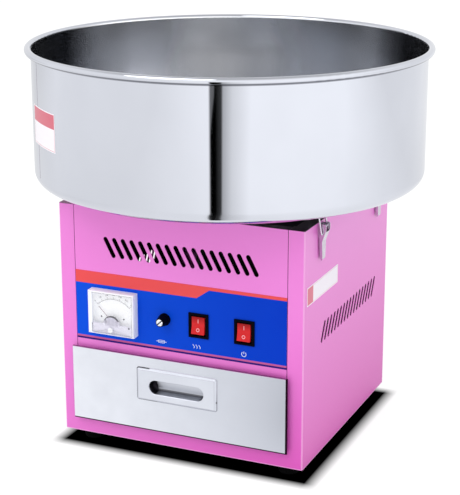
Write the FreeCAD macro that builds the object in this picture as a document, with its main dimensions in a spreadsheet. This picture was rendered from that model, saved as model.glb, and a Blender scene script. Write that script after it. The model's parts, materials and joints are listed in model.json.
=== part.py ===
import FreeCAD, Part
import math
import os

import Sketcher

# Electric candy floss machine: a sheet-metal casing with a drawer and a control panel,
# a motor that spins a heated floss head, and a wide bowl held down by four toggle latches.
# Frame: +Z up, the front faces -Y, the origin is on the floor under the middle. Millimetres.

Vector = FreeCAD.Vector
doc = FreeCAD.newDocument("CandyFlossMachine")
sheet = doc.addObject("Spreadsheet::Sheet", "Sizes")


# ---------------------------------------------------------------- sizes that know their cell

def written(value):
    """The text that an expression uses for a size or for a plain number."""
    return value.text if isinstance(value, Size) else repr(float(value))


class Size:
    """A length with its number and with the expression that leads back to the sheet."""

    def __init__(self, text, number):
        self.text = text
        self.number = number

    def __float__(self):
        return self.number

    def __add__(self, other):
        return Size(f"({self.text} + {written(other)})", self.number + float(other))

    def __sub__(self, other):
        return Size(f"({self.text} - {written(other)})", self.number - float(other))

    def __rsub__(self, other):
        return Size(f"({written(other)} - {self.text})", float(other) - self.number)

    def __mul__(self, other):
        return Size(f"({self.text} * {written(other)})", self.number * float(other))

    def __truediv__(self, other):
        return Size(f"({self.text} / {written(other)})", self.number / float(other))

    def __neg__(self):
        return self * -1

    __radd__ = __add__
    __rmul__ = __mul__


def size(alias, value, meaning):
    """Writes one driving dimension into the sheet and returns it."""
    row = len(size.rows) + 1
    size.rows.append(alias)
    sheet.set(f"A{row}", alias)
    sheet.set(f"B{row}", str(value))
    sheet.set(f"C{row}", meaning)
    sheet.setAlias(f"B{row}", alias)
    sheet.recompute()
    return Size(f"Sizes.{alias}", float(getattr(sheet, alias)))


size.rows = []

# Casing
casing_width = size("casing_width", 332, "casing, outside width")
casing_depth = size("casing_depth", 316, "casing, outside depth")
casing_height = size("casing_height", 306, "casing, height of the sheet metal")
sheet_wall = size("sheet_wall", 1.0, "casing sheet thickness")
bend_radius = size("bend_radius", 2.0, "outside radius of the upright front bends")
side_return = size("side_return", 21, "front face of the casing beside the panel")
inner_flange = size("inner_flange", 18, "flanges turned inwards at top and back")
base_flange = size("base_flange", 44, "flanges turned inwards at the bottom, over the feet")
seam_gap = size("seam_gap", 0.8, "seam between the control panel and the casing")
panel_return = size("panel_return", 12, "flanges folded back on the control panel")
fit_gap = size("fit_gap", 0.3, "gap between neighbouring pieces that do not touch")
deck_wall = size("deck_wall", 1.5, "top deck thickness")
base_wall = size("base_wall", 1.2, "base pan thickness")

# Feet
foot_height = size("foot_height", 16, "rubber foot, floor to casing")
foot_radius = size("foot_radius", 15, "rubber foot, radius at the top")
foot_taper = size("foot_taper", 2, "rubber foot, radius lost towards the floor")
foot_inset = size("foot_inset", 28, "foot centre from the casing sides")
foot_screw_radius = size("foot_screw_radius", 2.5, "foot screw, shank radius")
screw_gap = size("screw_gap", 0.1, "radial gap of a screw in its hole")

# Vents
vent_count = size("vent_count", 17, "slots in one row of vents")
vent_pitch = size("vent_pitch", 12.1, "slot to slot")
vent_slot_width = size("vent_slot_width", 6.0, "slot width")
vent_lean = size("vent_lean", 10.7, "sideways shift of a slot from foot to head")
vent_rise = size("vent_rise", 20.4, "height of a slot between its end centres")
front_vent_centre = size("front_vent_centre", 2, "front row, middle slot, X")
front_vent_level = size("front_vent_level", 255.3, "front row above the casing's underside")
side_vent_centre = size("side_vent_centre", 6.4, "side rows, middle slot, Y")
side_vent_level = size("side_vent_level", 159.4, "side rows above the casing's underside")
base_vent_radius = size("base_vent_radius", 4, "slots in the base pan, radius of their ends")
base_vent_pitch = size("base_vent_pitch", 37, "slots in the base pan, slot to slot")
base_vent_half = size("base_vent_half", 52, "slots in the base pan, middle to end centre")

# Control panel and what it carries
overlay_thickness = size("overlay_thickness", 0.4, "printed film on the control panel")
overlay_level = size("overlay_level", 129.5, "film, lower edge above the casing's underside")
overlay_height = size("overlay_height", 91.5, "film, height")
meter_place = size("meter_place", -88.8, "voltmeter centre, X")
meter_level = size("meter_level", 171.8, "voltmeter centre above the casing's underside")
meter_width = size("meter_width", 64, "voltmeter front, width")
meter_height = size("meter_height", 56.5, "voltmeter front, height")
meter_proud = size("meter_proud", 13, "voltmeter, front of the cover from the panel")
meter_base = size("meter_base", 3, "voltmeter, thickness of the case's front")
meter_barrel_radius = size("meter_barrel_radius", 24, "voltmeter, barrel behind the panel")
meter_barrel_length = size("meter_barrel_length", 26, "voltmeter, depth behind the panel")
meter_cover_wall = size("meter_cover_wall", 1.6, "voltmeter, clear cover wall")
meter_dial_thickness = size("meter_dial_thickness", 0.8, "voltmeter, dial plate")
meter_pivot_drop = size("meter_pivot_drop", 14, "needle pivot below the meter's middle")
meter_needle_length = size("meter_needle_length", 29, "needle, pivot to tip")
needle_width = size("needle_width", 0.5, "needle, width of the pointer")
spindle_radius = size("spindle_radius", 0.8, "needle spindle radius")
mask_band = size("mask_band", 12, "moulding over the lower part of the dial, height")
mask_thickness = size("mask_thickness", 2, "moulding over the dial, thickness")
mask_arch_radius = size("mask_arch_radius", 11, "arch of the moulding over the needle's pivot")
zero_screw_drop = size("zero_screw_drop", 20.8, "zero screw below the meter's middle")
zero_shank_radius = size("zero_shank_radius", 1.5, "zero screw shank radius")
zero_screw_radius = size("zero_screw_radius", 3.3, "zero screw head radius")
fuse_place = size("fuse_place", -19, "fuse holder, X")
fuse_level = size("fuse_level", 171.3, "fuse holder above the casing's underside")
fuse_barrel_radius = size("fuse_barrel_radius", 6.3, "fuse holder, barrel radius")
fuse_barrel_length = size("fuse_barrel_length", 32, "fuse holder, depth behind the panel")
fuse_rim_width = size("fuse_rim_width", 1.6, "fuse holder, rim beyond the barrel")
fuse_rim_thickness = size("fuse_rim_thickness", 2, "fuse holder, rim thickness")
fuse_cap_radius = size("fuse_cap_radius", 7.5, "fuse cap, radius at the panel")
fuse_cap_tip = size("fuse_cap_tip", 5.4, "fuse cap, radius at its end")
fuse_cap_length = size("fuse_cap_length", 12.7, "fuse cap, length")
fuse_recess_radius = size("fuse_recess_radius", 3.8, "recess in the fuse cap's end, radius")
fuse_recess_depth = size("fuse_recess_depth", 1.2, "recess in the fuse cap's end, depth")
fuse_link_radius = size("fuse_link_radius", 2.6, "glass fuse radius")
fuse_link_length = size("fuse_link_length", 20, "glass fuse length")
heat_place = size("heat_place", 27.7, "heat switch, X")
power_place = size("power_place", 89, "power switch, X")
switch_level = size("switch_level", 169.5, "switches above the casing's underside")
bezel_margin = size("bezel_margin", 2.3, "switch bezel beyond the body's sides")
bezel_over = size("bezel_over", 1.5, "switch bezel beyond the body's top and foot")
bezel_proud = size("bezel_proud", 2, "switch bezel thickness in front of the panel")
switch_body_width = size("switch_body_width", 22, "switch body width")
switch_body_height = size("switch_body_height", 28.8, "switch body height")
switch_body_depth = size("switch_body_depth", 20, "switch body depth behind the panel")
switch_wall = size("switch_wall", 1.2, "switch body wall")
rocker_gap = size("rocker_gap", 1.2, "rocker side from the body's wall")
rocker_proud = size("rocker_proud", 1.5, "rocker ends in front of the bezel when level")
rocker_dip = size("rocker_dip", 1.2, "hollow across the rocker's middle")
rocker_pivot_depth = size("rocker_pivot_depth", 4, "rocker pivot behind the panel face")
rocker_pin_radius = size("rocker_pin_radius", 1.5, "rocker pivot pin radius")
pivot_gap = size("pivot_gap", 0.05, "radial running clearance of pins and shafts")

# Drawer
drawer_width = size("drawer_width", 296, "drawer front width")
drawer_height = size("drawer_height", 99, "drawer front height")
drawer_proud = size("drawer_proud", 8, "drawer front from the casing's front")
drawer_level = size("drawer_level", 21, "drawer front above the casing's underside")
drawer_overlap = size("drawer_overlap", 3, "drawer front over the edge of its opening")
drawer_fold = size("drawer_fold", 3.2, "edge folded back round the drawer front")
drawer_wall = size("drawer_wall", 1.0, "drawer sheet thickness")
box_margin = size("box_margin", 16, "drawer box, side set in from the drawer front's edge")
box_depth = size("box_depth", 262, "drawer box depth behind the casing's front")
box_height = size("box_height", 80, "drawer box height")
box_lift = size("box_lift", 4, "drawer box above the opening's lower edge")
lip_width = size("lip_width", 11, "lip along the top of the drawer box")
runner_channel = size("runner_channel", 6, "height of the runner's channel")
runner_wall = size("runner_wall", 1.2, "runner sheet thickness")
runner_foot = size("runner_foot", 15, "runner foot on the base pan")
runner_setback = size("runner_setback", 3, "runner start behind the casing's front")
runner_length = size("runner_length", 285, "runner length")
pull_width = size("pull_width", 111, "recessed pull, plate width")
pull_height = size("pull_height", 44, "recessed pull, plate height")
pull_plate = size("pull_plate", 3.0, "recessed pull, plate thickness")
pull_bevel = size("pull_bevel", 2.6, "recessed pull, bevel round the plate")
pull_corner = size("pull_corner", 3, "recessed pull, corner radius")
pocket_length = size("pocket_length", 75, "recessed pull, pocket length")
pocket_height = size("pocket_height", 18, "recessed pull, pocket height")
pocket_depth = size("pocket_depth", 12, "recessed pull, pocket depth")
pocket_wall = size("pocket_wall", 1.2, "recessed pull, pocket wall")
pocket_rim = size("pocket_rim", 1.2, "recessed pull, rounding of the pocket's rim")
pocket_round = size("pocket_round", 4.5, "recessed pull, rounding round the pocket's floor")
pocket_drop = size("pocket_drop", 2, "recessed pull, pocket below the plate's middle")
pull_level = size("pull_level", 63, "recessed pull, centre above the drawer front's foot")

# Bowl and its seat
bowl_radius = size("bowl_radius", 252, "bowl wall, outside radius")
bowl_depth = size("bowl_depth", 169, "bowl, underside to the middle of the rim bead")
bowl_wall = size("bowl_wall", 1.0, "bowl sheet thickness")
bowl_corner = size("bowl_corner", 15.5, "bowl, outside radius at the foot of the wall")
bead_radius = size("bead_radius", 4.4, "rolled rim bead, radius of its section")
bowl_hole_radius = size("bowl_hole_radius", 48, "hole in the bowl's middle")
collar_height = size("collar_height", 14, "collar round the bowl's hole")
bowl_gap = size("bowl_gap", 17, "bowl's underside above the casing")
gasket_height = size("gasket_height", 3.5, "rubber ring under the bowl")
seat_radius = size("seat_radius", 104, "seat ring, inside radius")
seat_flange = size("seat_flange", 14, "seat ring, width of its flanges")
seat_wall = size("seat_wall", 1.5, "seat ring and guard sheet thickness")
guard_radius = size("guard_radius", 44, "guard round the spindle, outside radius at its foot")
guard_height = size("guard_height", 50, "guard round the spindle, height")
guard_slope = size("guard_slope", 6, "guard round the spindle, radius lost towards the top")
guard_gap = size("guard_gap", 4, "guard's top edge from the spindle")

# Latches
latch_spread = size("latch_spread", 107, "latches, Y from the middle")
hinge_proud = size("hinge_proud", 6.5, "latch hinge from the casing's side")
hinge_drop = size("hinge_drop", 6, "latch hinge below the casing's top")
hinge_pin_radius = size("hinge_pin_radius", 1.5, "latch hinge pin radius")
ear_inner = size("ear_inner", 4.7, "latch base ear, inner face from the latch's middle")
ear_wall = size("ear_wall", 1.5, "latch base sheet thickness")
ear_foot = size("ear_foot", 5, "latch base ear, foot below the hinge")
ear_head = size("ear_head", 3.5, "latch base ear, head above the hinge")
ear_reach = size("ear_reach", 2.0, "latch base ear beyond the hinge")
latch_base_foot = size("latch_base_foot", 12, "latch base, foot below the hinge")
latch_base_head = size("latch_base_head", 4, "latch base and lever, head above the hinge")
lever_inner = size("lever_inner", 6.4, "lever flange, inner face from the latch's middle")
lever_wall = size("lever_wall", 1.2, "lever sheet thickness")
lever_reach = size("lever_reach", 2.2, "lever web, inner face beyond the hinge")
lever_stand = size("lever_stand", 1.4, "lever flanges from the casing's side")
lever_back = size("lever_back", 3.5, "lever flanges, head behind the hinge")
lever_corner = size("lever_corner", 1.5, "lever web, bevels at the head and the finger end")
lever_shoulder = size("lever_shoulder", 4, "lever web, start of its slope below the hinge")
lever_bend = size("lever_bend", 18, "lever web, foot of its slope below the hinge")
lever_depth = size("lever_depth", 3.6, "lever at its finger end, front to back")
pin_head = size("pin_head", 0.6, "hinge pin beyond the lever")
lever_length = size("lever_length", 42, "lever, hinge to finger end")
lever_tip = size("lever_tip", 4.8, "lever, half width at the finger end")
bail_drop = size("bail_drop", 8, "bail pivot below the hinge")
bail_inset = size("bail_inset", 1.2, "bail pivot nearer the casing than the hinge")
bail_lean = size("bail_lean", 4, "bail's cross wire nearer the casing than its pivot")
bail_length = size("bail_length", 24, "bail, pivot to cross wire")
bail_wire = size("bail_wire", 1.25, "bail wire radius")
bail_half_width = size("bail_half_width", 11, "bail leg from the latch's middle")
bail_bend = size("bail_bend", 2.3, "bail, bend radius of the wire's middle")
catch_half_width = size("catch_half_width", 6, "bowl catch, half width")
catch_wall = size("catch_wall", 1.5, "bowl catch thickness")
catch_reach = size("catch_reach", 2.5, "bowl catch ledge beyond the cross wire")
catch_depth = size("catch_depth", 14, "bowl catch ledge inside the cross wire")

# Motor and drive
shaft_radius = size("shaft_radius", 5, "spindle radius")
standoff_length = size("standoff_length", 46, "rubber mounts between deck and motor")
standoff_radius = size("standoff_radius", 7, "rubber mount radius")
mount_circle = size("mount_circle", 54, "rubber mounts, radius of their circle")
motor_radius = size("motor_radius", 45, "motor can radius")
motor_wall = size("motor_wall", 2, "motor can wall")
motor_length = size("motor_length", 80, "motor can length")
bell_height = size("bell_height", 12, "motor end bell height")
bell_overhang = size("bell_overhang", 3, "motor end bell beyond the can")
bearing_radius = size("bearing_radius", 13, "bearing outside radius")
bearing_height = size("bearing_height", 8, "bearing width")
rotor_radius = size("rotor_radius", 30, "rotor radius")
rotor_length = size("rotor_length", 52, "rotor length")
fan_radius = size("fan_radius", 38, "cooling fan radius")
fan_hub_radius = size("fan_hub_radius", 10, "cooling fan hub radius")
fan_hub_height = size("fan_hub_height", 12, "cooling fan hub height")
fan_drop = size("fan_drop", 6, "cooling fan below the motor")
fan_blades = size("fan_blades", 7, "cooling fan blades")
hub_radius = size("hub_radius", 16, "slip ring hub radius")
hub_height = size("hub_height", 32, "slip ring hub height")
ring_radius = size("ring_radius", 20, "slip ring outside radius")
ring_height = size("ring_height", 7, "slip ring height")
ring_pitch = size("ring_pitch", 16, "slip ring to slip ring")
brush_width = size("brush_width", 8, "carbon brush width")
brush_height = size("brush_height", 6, "carbon brush height")
brush_length = size("brush_length", 16, "carbon brush length")
board_thickness = size("board_thickness", 3, "brush board thickness")
board_half_width = size("board_half_width", 20, "brush board half width")

# Floss head
head_radius = size("head_radius", 65, "floss head outside radius")
head_level = size("head_level", 41, "floss head's underside above the bowl's underside")
head_height = size("head_height", 56, "floss head height without the funnel's lip")
head_wall = size("head_wall", 1.5, "floss head sheet thickness")
head_hub_radius = size("head_hub_radius", 13, "floss head hub radius")
head_hub_height = size("head_hub_height", 18, "floss head hub height")
band_wall = size("band_wall", 1.0, "slotted band wall")
band_slots = size("band_slots", 36, "slots round the band")
band_slot_width = size("band_slot_width", 3, "band slot width")
funnel_radius = size("funnel_radius", 24, "sugar opening radius")
funnel_lip = size("funnel_lip", 8, "sugar funnel lip height")
element_radius = size("element_radius", 50, "heating element, ring radius")
element_tube = size("element_tube", 3.2, "heating element, tube radius")
post_circle = size("post_circle", 36, "head screws, radius of their circle")
post_radius = size("post_radius", 2.5, "head screw radius")

# Back and inside fittings
gland_place = size("gland_place", 118, "cable gland, X")
gland_level = size("gland_level", 46, "cable gland above the casing's underside")
gland_thread_radius = size("gland_thread_radius", 8, "cable gland thread radius")
gland_bore_radius = size("gland_bore_radius", 4.2, "cable gland bore radius")
gland_nut_radius = size("gland_nut_radius", 12, "cable gland hexagon, corner radius")
back_screw_radius = size("back_screw_radius", 2, "back panel screw, shank radius")
back_screw_head = size("back_screw_head", 3.6, "back panel screw, head radius")
block_length = size("block_length", 46, "terminal block length")
block_width = size("block_width", 20, "terminal block width")
block_height = size("block_height", 16, "terminal block height")

# Places that follow from the sizes
half_width = casing_width / 2
half_depth = casing_depth / 2
casing_foot = foot_height
casing_top = foot_height + casing_height
seam = half_width - side_return
panel_face = -half_depth - overlay_thickness
deck_top = casing_top - sheet_wall
deck_foot = deck_top - deck_wall
base_top = casing_foot + sheet_wall + base_wall
bezel_width = switch_body_width + bezel_margin * 2
bezel_height = switch_body_height + bezel_over * 2
rocker_width = switch_body_width - switch_wall * 2 - rocker_gap * 2
box_width = drawer_width - box_margin * 2
drawer_foot = casing_foot + drawer_level
drawer_top = drawer_foot + drawer_height
opening_foot = drawer_foot + drawer_overlap
opening_top = drawer_top - drawer_overlap
bowl_foot = casing_top + bowl_gap
bead_level = bowl_foot + bowl_depth
motor_top = deck_foot - standoff_length
can_top = motor_top - bell_height
can_foot = can_top - motor_length
motor_foot = can_foot - bell_height
fan_top = motor_foot - fan_drop
head_foot = bowl_foot + head_level
head_top = head_foot + head_height


# ---------------------------------------------------------------- helpers

nodes = {}
AIMS = {"X": ((0, 1, 0), 90), "Y": ((1, 0, 0), -90), "Z": ((0, 0, 1), 0)}


def bind(thing, path, value):
    """Ties one property to the sheet."""
    thing.setExpression(path, written(value))


def put(thing, x=0, y=0, z=0, axis=(0, 0, 1), turn=0):
    """Turns an object and ties its place to the sheet."""
    thing.Placement = FreeCAD.Placement(Vector(), FreeCAD.Rotation(Vector(*axis), turn))
    for letter, value in zip("xyz", (x, y, z)):
        bind(thing, f"Placement.Base.{letter}", value)
    return thing


def fit_box(thing, x, y, z):
    """Sizes and places a box by its low and high side along each axis."""
    bind(thing, "Length", x[1] - x[0])
    bind(thing, "Width", y[1] - y[0])
    bind(thing, "Height", z[1] - z[0])
    return put(thing, x[0], y[0], z[0])


def fit_rod(thing, radius, length, at, along):
    bind(thing, "Radius", radius)
    bind(thing, "Height", length)
    axis, turn = AIMS[along]
    return put(thing, *at, axis=axis, turn=turn)


def box(name, x, y, z):
    return fit_box(doc.addObject("Part::Box", name), x, y, z)


def rod(name, radius, length, at, along="Z"):
    return fit_rod(doc.addObject("Part::Cylinder", name), radius, length, at, along)


def hexagon(name, corner_radius, length, at, along="Z"):
    prism = doc.addObject("Part::Prism", name)
    prism.Polygon = 6
    bind(prism, "Circumradius", corner_radius)
    bind(prism, "Height", length)
    axis, turn = AIMS[along]
    return put(prism, *at, axis=axis, turn=turn)


def fuse(name, pieces):
    if len(pieces) == 1:
        return pieces[0]
    whole = doc.addObject("Part::MultiFuse", name)
    whole.Shapes = pieces
    return whole


def cut(name, base, tools):
    """Cuts the tools out of the base."""
    result = doc.addObject("Part::Cut", name)
    result.Base = base
    result.Tool = tools[0] if len(tools) == 1 else group(name + "_tools", tools)
    return result


def group(name, pieces):
    """Keeps like pieces together as separate solids."""
    bundle = doc.addObject("Part::Compound", name)
    bundle.Links = pieces
    return bundle


def node(name, thing):
    """Names a finished piece."""
    thing.Label = name
    nodes[name] = thing
    return thing


def body(name):
    return doc.addObject("PartDesign::Body", name)


def add_box(part, name, x, y, z):
    return fit_box(part.newObject("PartDesign::AdditiveBox", name), x, y, z)


def cut_box(part, name, x, y, z):
    return fit_box(part.newObject("PartDesign::SubtractiveBox", name), x, y, z)


def add_rod(part, name, radius, length, at, along="Z"):
    return fit_rod(part.newObject("PartDesign::AdditiveCylinder", name), radius, length, at, along)


def cut_rod(part, name, radius, length, at, along="Z"):
    return fit_rod(part.newObject("PartDesign::SubtractiveCylinder", name), radius, length, at, along)


def sketch(part, name, plane, offset=0):
    """A sketch on one of the body's own origin planes."""
    drawing = part.newObject("Sketcher::SketchObject", name)
    base = [plane_object for plane_object in part.Origin.OriginFeatures if plane_object.Role == plane]
    drawing.AttachmentSupport = (base[0], [""])
    drawing.MapMode = "FlatFace"
    bind(drawing, "AttachmentOffset.Base.z", offset)
    return drawing


def hold(drawing, geometry, point, at):
    """Ties a point of a sketch to two sizes."""
    for kind, value in zip(("DistanceX", "DistanceY"), at):
        place = drawing.addConstraint(Sketcher.Constraint(kind, -1, 1, geometry, point, float(value)))
        bind(drawing, f"Constraints[{place}]", value)


def outline(drawing, corners):
    """Draws a closed outline with straight sides."""
    places = [Vector(float(across), float(up), 0) for across, up in corners]
    edges = [drawing.addGeometry(Part.LineSegment(places[turn - 1], places[turn]))
             for turn in range(len(places))]
    for turn, edge in enumerate(edges):
        follower = edges[(turn + 1) % len(edges)]
        drawing.addConstraint(Sketcher.Constraint("Coincident", edge, 2, follower, 1))
        hold(drawing, edge, 2, corners[turn])
    return drawing


def circle(drawing, at, radius):
    middle = Vector(float(at[0]), float(at[1]), 0)
    edge = drawing.addGeometry(Part.Circle(middle, Vector(0, 0, 1), float(radius)))
    hold(drawing, edge, 3, at)
    place = drawing.addConstraint(Sketcher.Constraint("Radius", edge, float(radius)))
    bind(drawing, f"Constraints[{place}]", radius)
    return drawing


def slot(drawing, start, end, radius):
    """Draws a slot with round ends between two centres."""
    first = Vector(float(start[0]), float(start[1]), 0)
    last = Vector(float(end[0]), float(end[1]), 0)
    run = last - first
    run.normalize()
    side = Vector(-run.y, run.x, 0) * float(radius)
    angle = math.atan2(side.y, side.x)
    up = Vector(0, 0, 1)
    head = drawing.addGeometry(Part.ArcOfCircle(Part.Circle(first, up, float(radius)), angle, angle + math.pi))
    tail = drawing.addGeometry(Part.ArcOfCircle(Part.Circle(last, up, float(radius)), angle - math.pi, angle))
    right = drawing.addGeometry(Part.LineSegment(first - side, last - side))
    left = drawing.addGeometry(Part.LineSegment(last + side, first + side))
    for one, end_one, two, end_two in ((head, 2, right, 1), (right, 2, tail, 1),
                                       (tail, 2, left, 1), (left, 2, head, 1)):
        drawing.addConstraint(Sketcher.Constraint("Tangent", one, end_one, two, end_two))
    drawing.addConstraint(Sketcher.Constraint("Equal", head, tail))
    place = drawing.addConstraint(Sketcher.Constraint("Radius", head, float(radius)))
    bind(drawing, f"Constraints[{place}]", radius)
    hold(drawing, head, 3, start)
    hold(drawing, tail, 3, end)
    return drawing


def pad(part, drawing, length, both_ways=False):
    feature = part.newObject("PartDesign::Pad", drawing.Name + "_pad")
    feature.Profile = drawing
    feature.SideType = "Symmetric" if both_ways else "One side"
    bind(feature, "Length", length)
    return feature


def pocket(part, drawing, length, both_ways=False, along_normal=False):
    feature = part.newObject("PartDesign::Pocket", drawing.Name + "_pocket")
    feature.Profile = drawing
    feature.SideType = "Symmetric" if both_ways else "One side"
    feature.Reversed = along_normal
    bind(feature, "Length", length)
    return feature


def revolve(part, drawing):
    """Turns a profile, drawn on the XZ plane, about the Z axis."""
    feature = part.newObject("PartDesign::Revolution", drawing.Name + "_turned")
    feature.Profile = drawing
    feature.ReferenceAxis = (drawing, ["V_Axis"])
    feature.Angle = 360
    return feature


def row(part, feature, drawing, pitch, count):
    """Repeats a feature along the sketch's first axis."""
    doc.recompute()
    pattern = part.newObject("PartDesign::LinearPattern", feature.Name + "_row")
    pattern.Originals = [feature]
    pattern.Direction = (drawing, ["H_Axis"])
    pattern.Mode = "Spacing"
    bind(pattern, "Offset", pitch)
    bind(pattern, "Occurrences", count)
    part.Tip = pattern
    return pattern


def ring_of(part, feature, drawing, count):
    """Repeats a feature round the sketch's second axis, which is upright."""
    doc.recompute()
    pattern = part.newObject("PartDesign::PolarPattern", feature.Name + "_ring")
    pattern.Originals = [feature]
    pattern.Axis = (drawing, ["V_Axis"])
    pattern.Angle = 360
    bind(pattern, "Occurrences", count)
    part.Tip = pattern
    return pattern


def soften(part, feature, radius, wanted, kind="Fillet"):
    """Rounds the edges of a feature that the test picks."""
    doc.recompute()
    names = [f"Edge{number}" for number, edge in enumerate(feature.Shape.Edges, 1) if wanted(edge)]
    rounding = part.newObject(f"PartDesign::{kind}", feature.Name + "_" + kind.lower())
    rounding.Base = (feature, names)
    bind(rounding, "Radius" if kind == "Fillet" else "Size", radius)
    part.Tip = rounding
    return rounding


def near(value, other):
    return abs(float(value) - float(other)) < 0.01


def upright_at(x, y):
    """Picks an upright straight edge by its place."""
    def test(edge):
        low, high = edge.Vertexes[0].Point, edge.Vertexes[-1].Point
        return all(near(low[axis], high[axis]) and near(low[axis], at)
                   for axis, at in ((0, x), (1, y))) and not near(low.z, high.z)
    return test


def circle_at(radius, level):
    """Picks a level circular edge by its radius and its height."""
    def test(edge):
        return (hasattr(edge.Curve, "Radius") and near(edge.Curve.Radius, radius)
                and near(edge.BoundBox.ZMin, level) and near(edge.BoundBox.ZMax, level))
    return test


def turned(name, profile):
    """A piece turned about the Z axis from a closed profile of (radius, height) corners."""
    part = body(name)
    revolve(part, outline(sketch(part, name + "_profile", "XZ_Plane"), profile))
    return part


def tube(name, inner, outer, low, high):
    return turned(name, [(inner, low), (outer, low), (outer, high), (inner, high)])


def vent_row(part, name, plane, middle, level, depth, lean):
    """Cuts a row of leaning slots; the slots' heads lie to the lean's side."""
    first = middle - vent_pitch * (vent_count - 1) / 2
    drawing = sketch(part, name, plane)
    slot(drawing, (first + lean / 2, level + vent_rise / 2), (first - lean / 2, level - vent_rise / 2),
         vent_slot_width / 2)
    return row(part, pocket(part, drawing, depth, both_ways=True), drawing, vent_pitch, vent_count)


# ---------------------------------------------------------------- casing

def foot_places():
    across, along = half_width - foot_inset, half_depth - foot_inset
    return [(across, along), (across, -along), (-across, along), (-across, -along)]


def back_screw_places():
    across = half_width - inner_flange / 2
    middle = casing_foot + casing_height / 2
    reach = casing_height / 2 - inner_flange * 1.5
    return [(side * across, middle + step * reach) for side in (-1, 1) for step in (-1, 0, 1)]


def cut_foot_holes(part, low):
    for number, (x, y) in enumerate(foot_places()):
        cut_rod(part, f"{part.Name}_foot_hole_{number}", foot_screw_radius + screw_gap, 4, (x, y, low - 1))


def cut_back_holes(part, low):
    for number, (x, z) in enumerate(back_screw_places()):
        cut_rod(part, f"{part.Name}_back_hole_{number}", back_screw_radius + screw_gap, 4,
                (x, low - 1, z), "Y")


def casing_shell():
    """One folded wrapper: two sides, the front's upright returns and its sill, with inner flanges."""
    part = body("casing_shell")
    blank = add_box(part, "casing_blank", (-half_width, half_width), (-half_depth, half_depth),
                    (casing_foot, casing_top))
    front_bends = [upright_at(side * half_width, -half_depth) for side in (-1, 1)]
    soften(part, blank, bend_radius, lambda edge: any(bend(edge) for bend in front_bends))
    cut_box(part, "casing_hollow", (sheet_wall - half_width, half_width - sheet_wall),
            (sheet_wall - half_depth, half_depth - sheet_wall), (casing_foot + sheet_wall, deck_top))
    cut_box(part, "casing_top_opening", (inner_flange - half_width, half_width - inner_flange),
            (inner_flange - half_depth, half_depth - inner_flange), (casing_foot + sheet_wall, casing_top + 1))
    cut_box(part, "casing_foot_opening", (base_flange - half_width, half_width - base_flange),
            (base_flange - half_depth, half_depth - base_flange), (casing_foot - 1, base_top))
    cut_box(part, "casing_back", (inner_flange - half_width, half_width - inner_flange),
            (half_depth - inner_flange, half_depth + 1),
            (casing_foot + inner_flange, casing_top - inner_flange))
    cut_box(part, "casing_front", (-seam, seam), (-half_depth - 1, inner_flange - half_depth),
            (opening_foot, casing_top + 1))
    cut_foot_holes(part, casing_foot)
    cut_back_holes(part, half_depth - sheet_wall)
    vent_row(part, "side_vents", "YZ_Plane", side_vent_centre, casing_foot + side_vent_level,
             casing_width + 2, vent_lean)
    return node("casing_shell", part)


def panel_cutouts():
    """The holes that the panel and its film share."""
    back, front = -half_depth + 6, -half_depth - 6
    tools = [
        rod("meter_hole", meter_barrel_radius + fit_gap, back - front,
            (meter_place, front, casing_foot + meter_level), "Y"),
        rod("fuse_hole", fuse_barrel_radius + fit_gap, back - front,
            (fuse_place, front, casing_foot + fuse_level), "Y")]
    for name, place in (("heat", heat_place), ("power", power_place)):
        level = casing_foot + switch_level
        width = switch_body_width / 2 + fit_gap
        height = switch_body_height / 2 + fit_gap
        tools.append(box(name + "_hole", (place - width, place + width), (front, back),
                         (level - height, level + height)))
    return tools


def front_panel():
    """Control panel between the two seams, folded back on all four edges."""
    part = body("panel_sheet")
    side = seam - seam_gap
    foot = opening_top
    fold = sheet_wall - half_depth + panel_return
    inside = sheet_wall - half_depth
    add_box(part, "panel_face", (-side, side), (-half_depth, inside), (foot, casing_top))
    for name, x in (("left", (-side, sheet_wall - side)), ("right", (side - sheet_wall, side))):
        add_box(part, f"panel_{name}_return", x, (inside, fold), (foot, deck_foot - fit_gap))
    add_box(part, "panel_foot_return", (-side, side), (inside, fold), (foot, foot + sheet_wall))
    add_box(part, "panel_head_return", (-side, side), (inside, fold), (deck_top, casing_top))
    vent_row(part, "front_vents", "XZ_Plane", front_vent_centre, casing_foot + front_vent_level,
             casing_depth + 6, -vent_lean)
    return node("front_panel", cut("front_panel", part, panel_cutouts()))


def control_overlay():
    low = casing_foot + overlay_level
    side = seam - seam_gap
    film = box("film", (-side, side), (panel_face, -half_depth), (low, low + overlay_height))
    return node("control_overlay", cut("control_overlay", film, panel_cutouts()))


def back_panel():
    part = body("back_panel")
    edge = 2
    add_box(part, "back_sheet", (edge - half_width, half_width - edge),
            (half_depth, half_depth + sheet_wall), (casing_foot + edge, casing_top - edge))
    cut_back_holes(part, half_depth)
    cut_rod(part, "gland_hole", gland_thread_radius + fit_gap, 4,
            (gland_place, half_depth - 1, casing_foot + gland_level), "Y")
    vent_row(part, "back_vents", "XZ_Plane", front_vent_centre, casing_foot + front_vent_level,
             casing_depth + 6, -vent_lean)
    return node("back_panel", part)


def back_panel_screws():
    screws = []
    outer = half_depth + sheet_wall
    for number, (x, z) in enumerate(back_screw_places()):
        head = rod(f"back_screw_head_{number}", back_screw_head, 2, (x, outer, z), "Y")
        shank = rod(f"back_screw_shank_{number}", back_screw_radius, 8, (x, outer - 8, z), "Y")
        slot_cut = box(f"back_screw_slot_{number}", (x - 0.5, x + 0.5), (outer + 1.2, outer + 3),
                       (z - 4, z + 4))
        screws.append(cut(f"back_screw_{number}", fuse(f"back_screw_blank_{number}", [head, shank]),
                          [slot_cut]))
    return node("back_panel_screws", group("back_panel_screws", screws))


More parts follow.
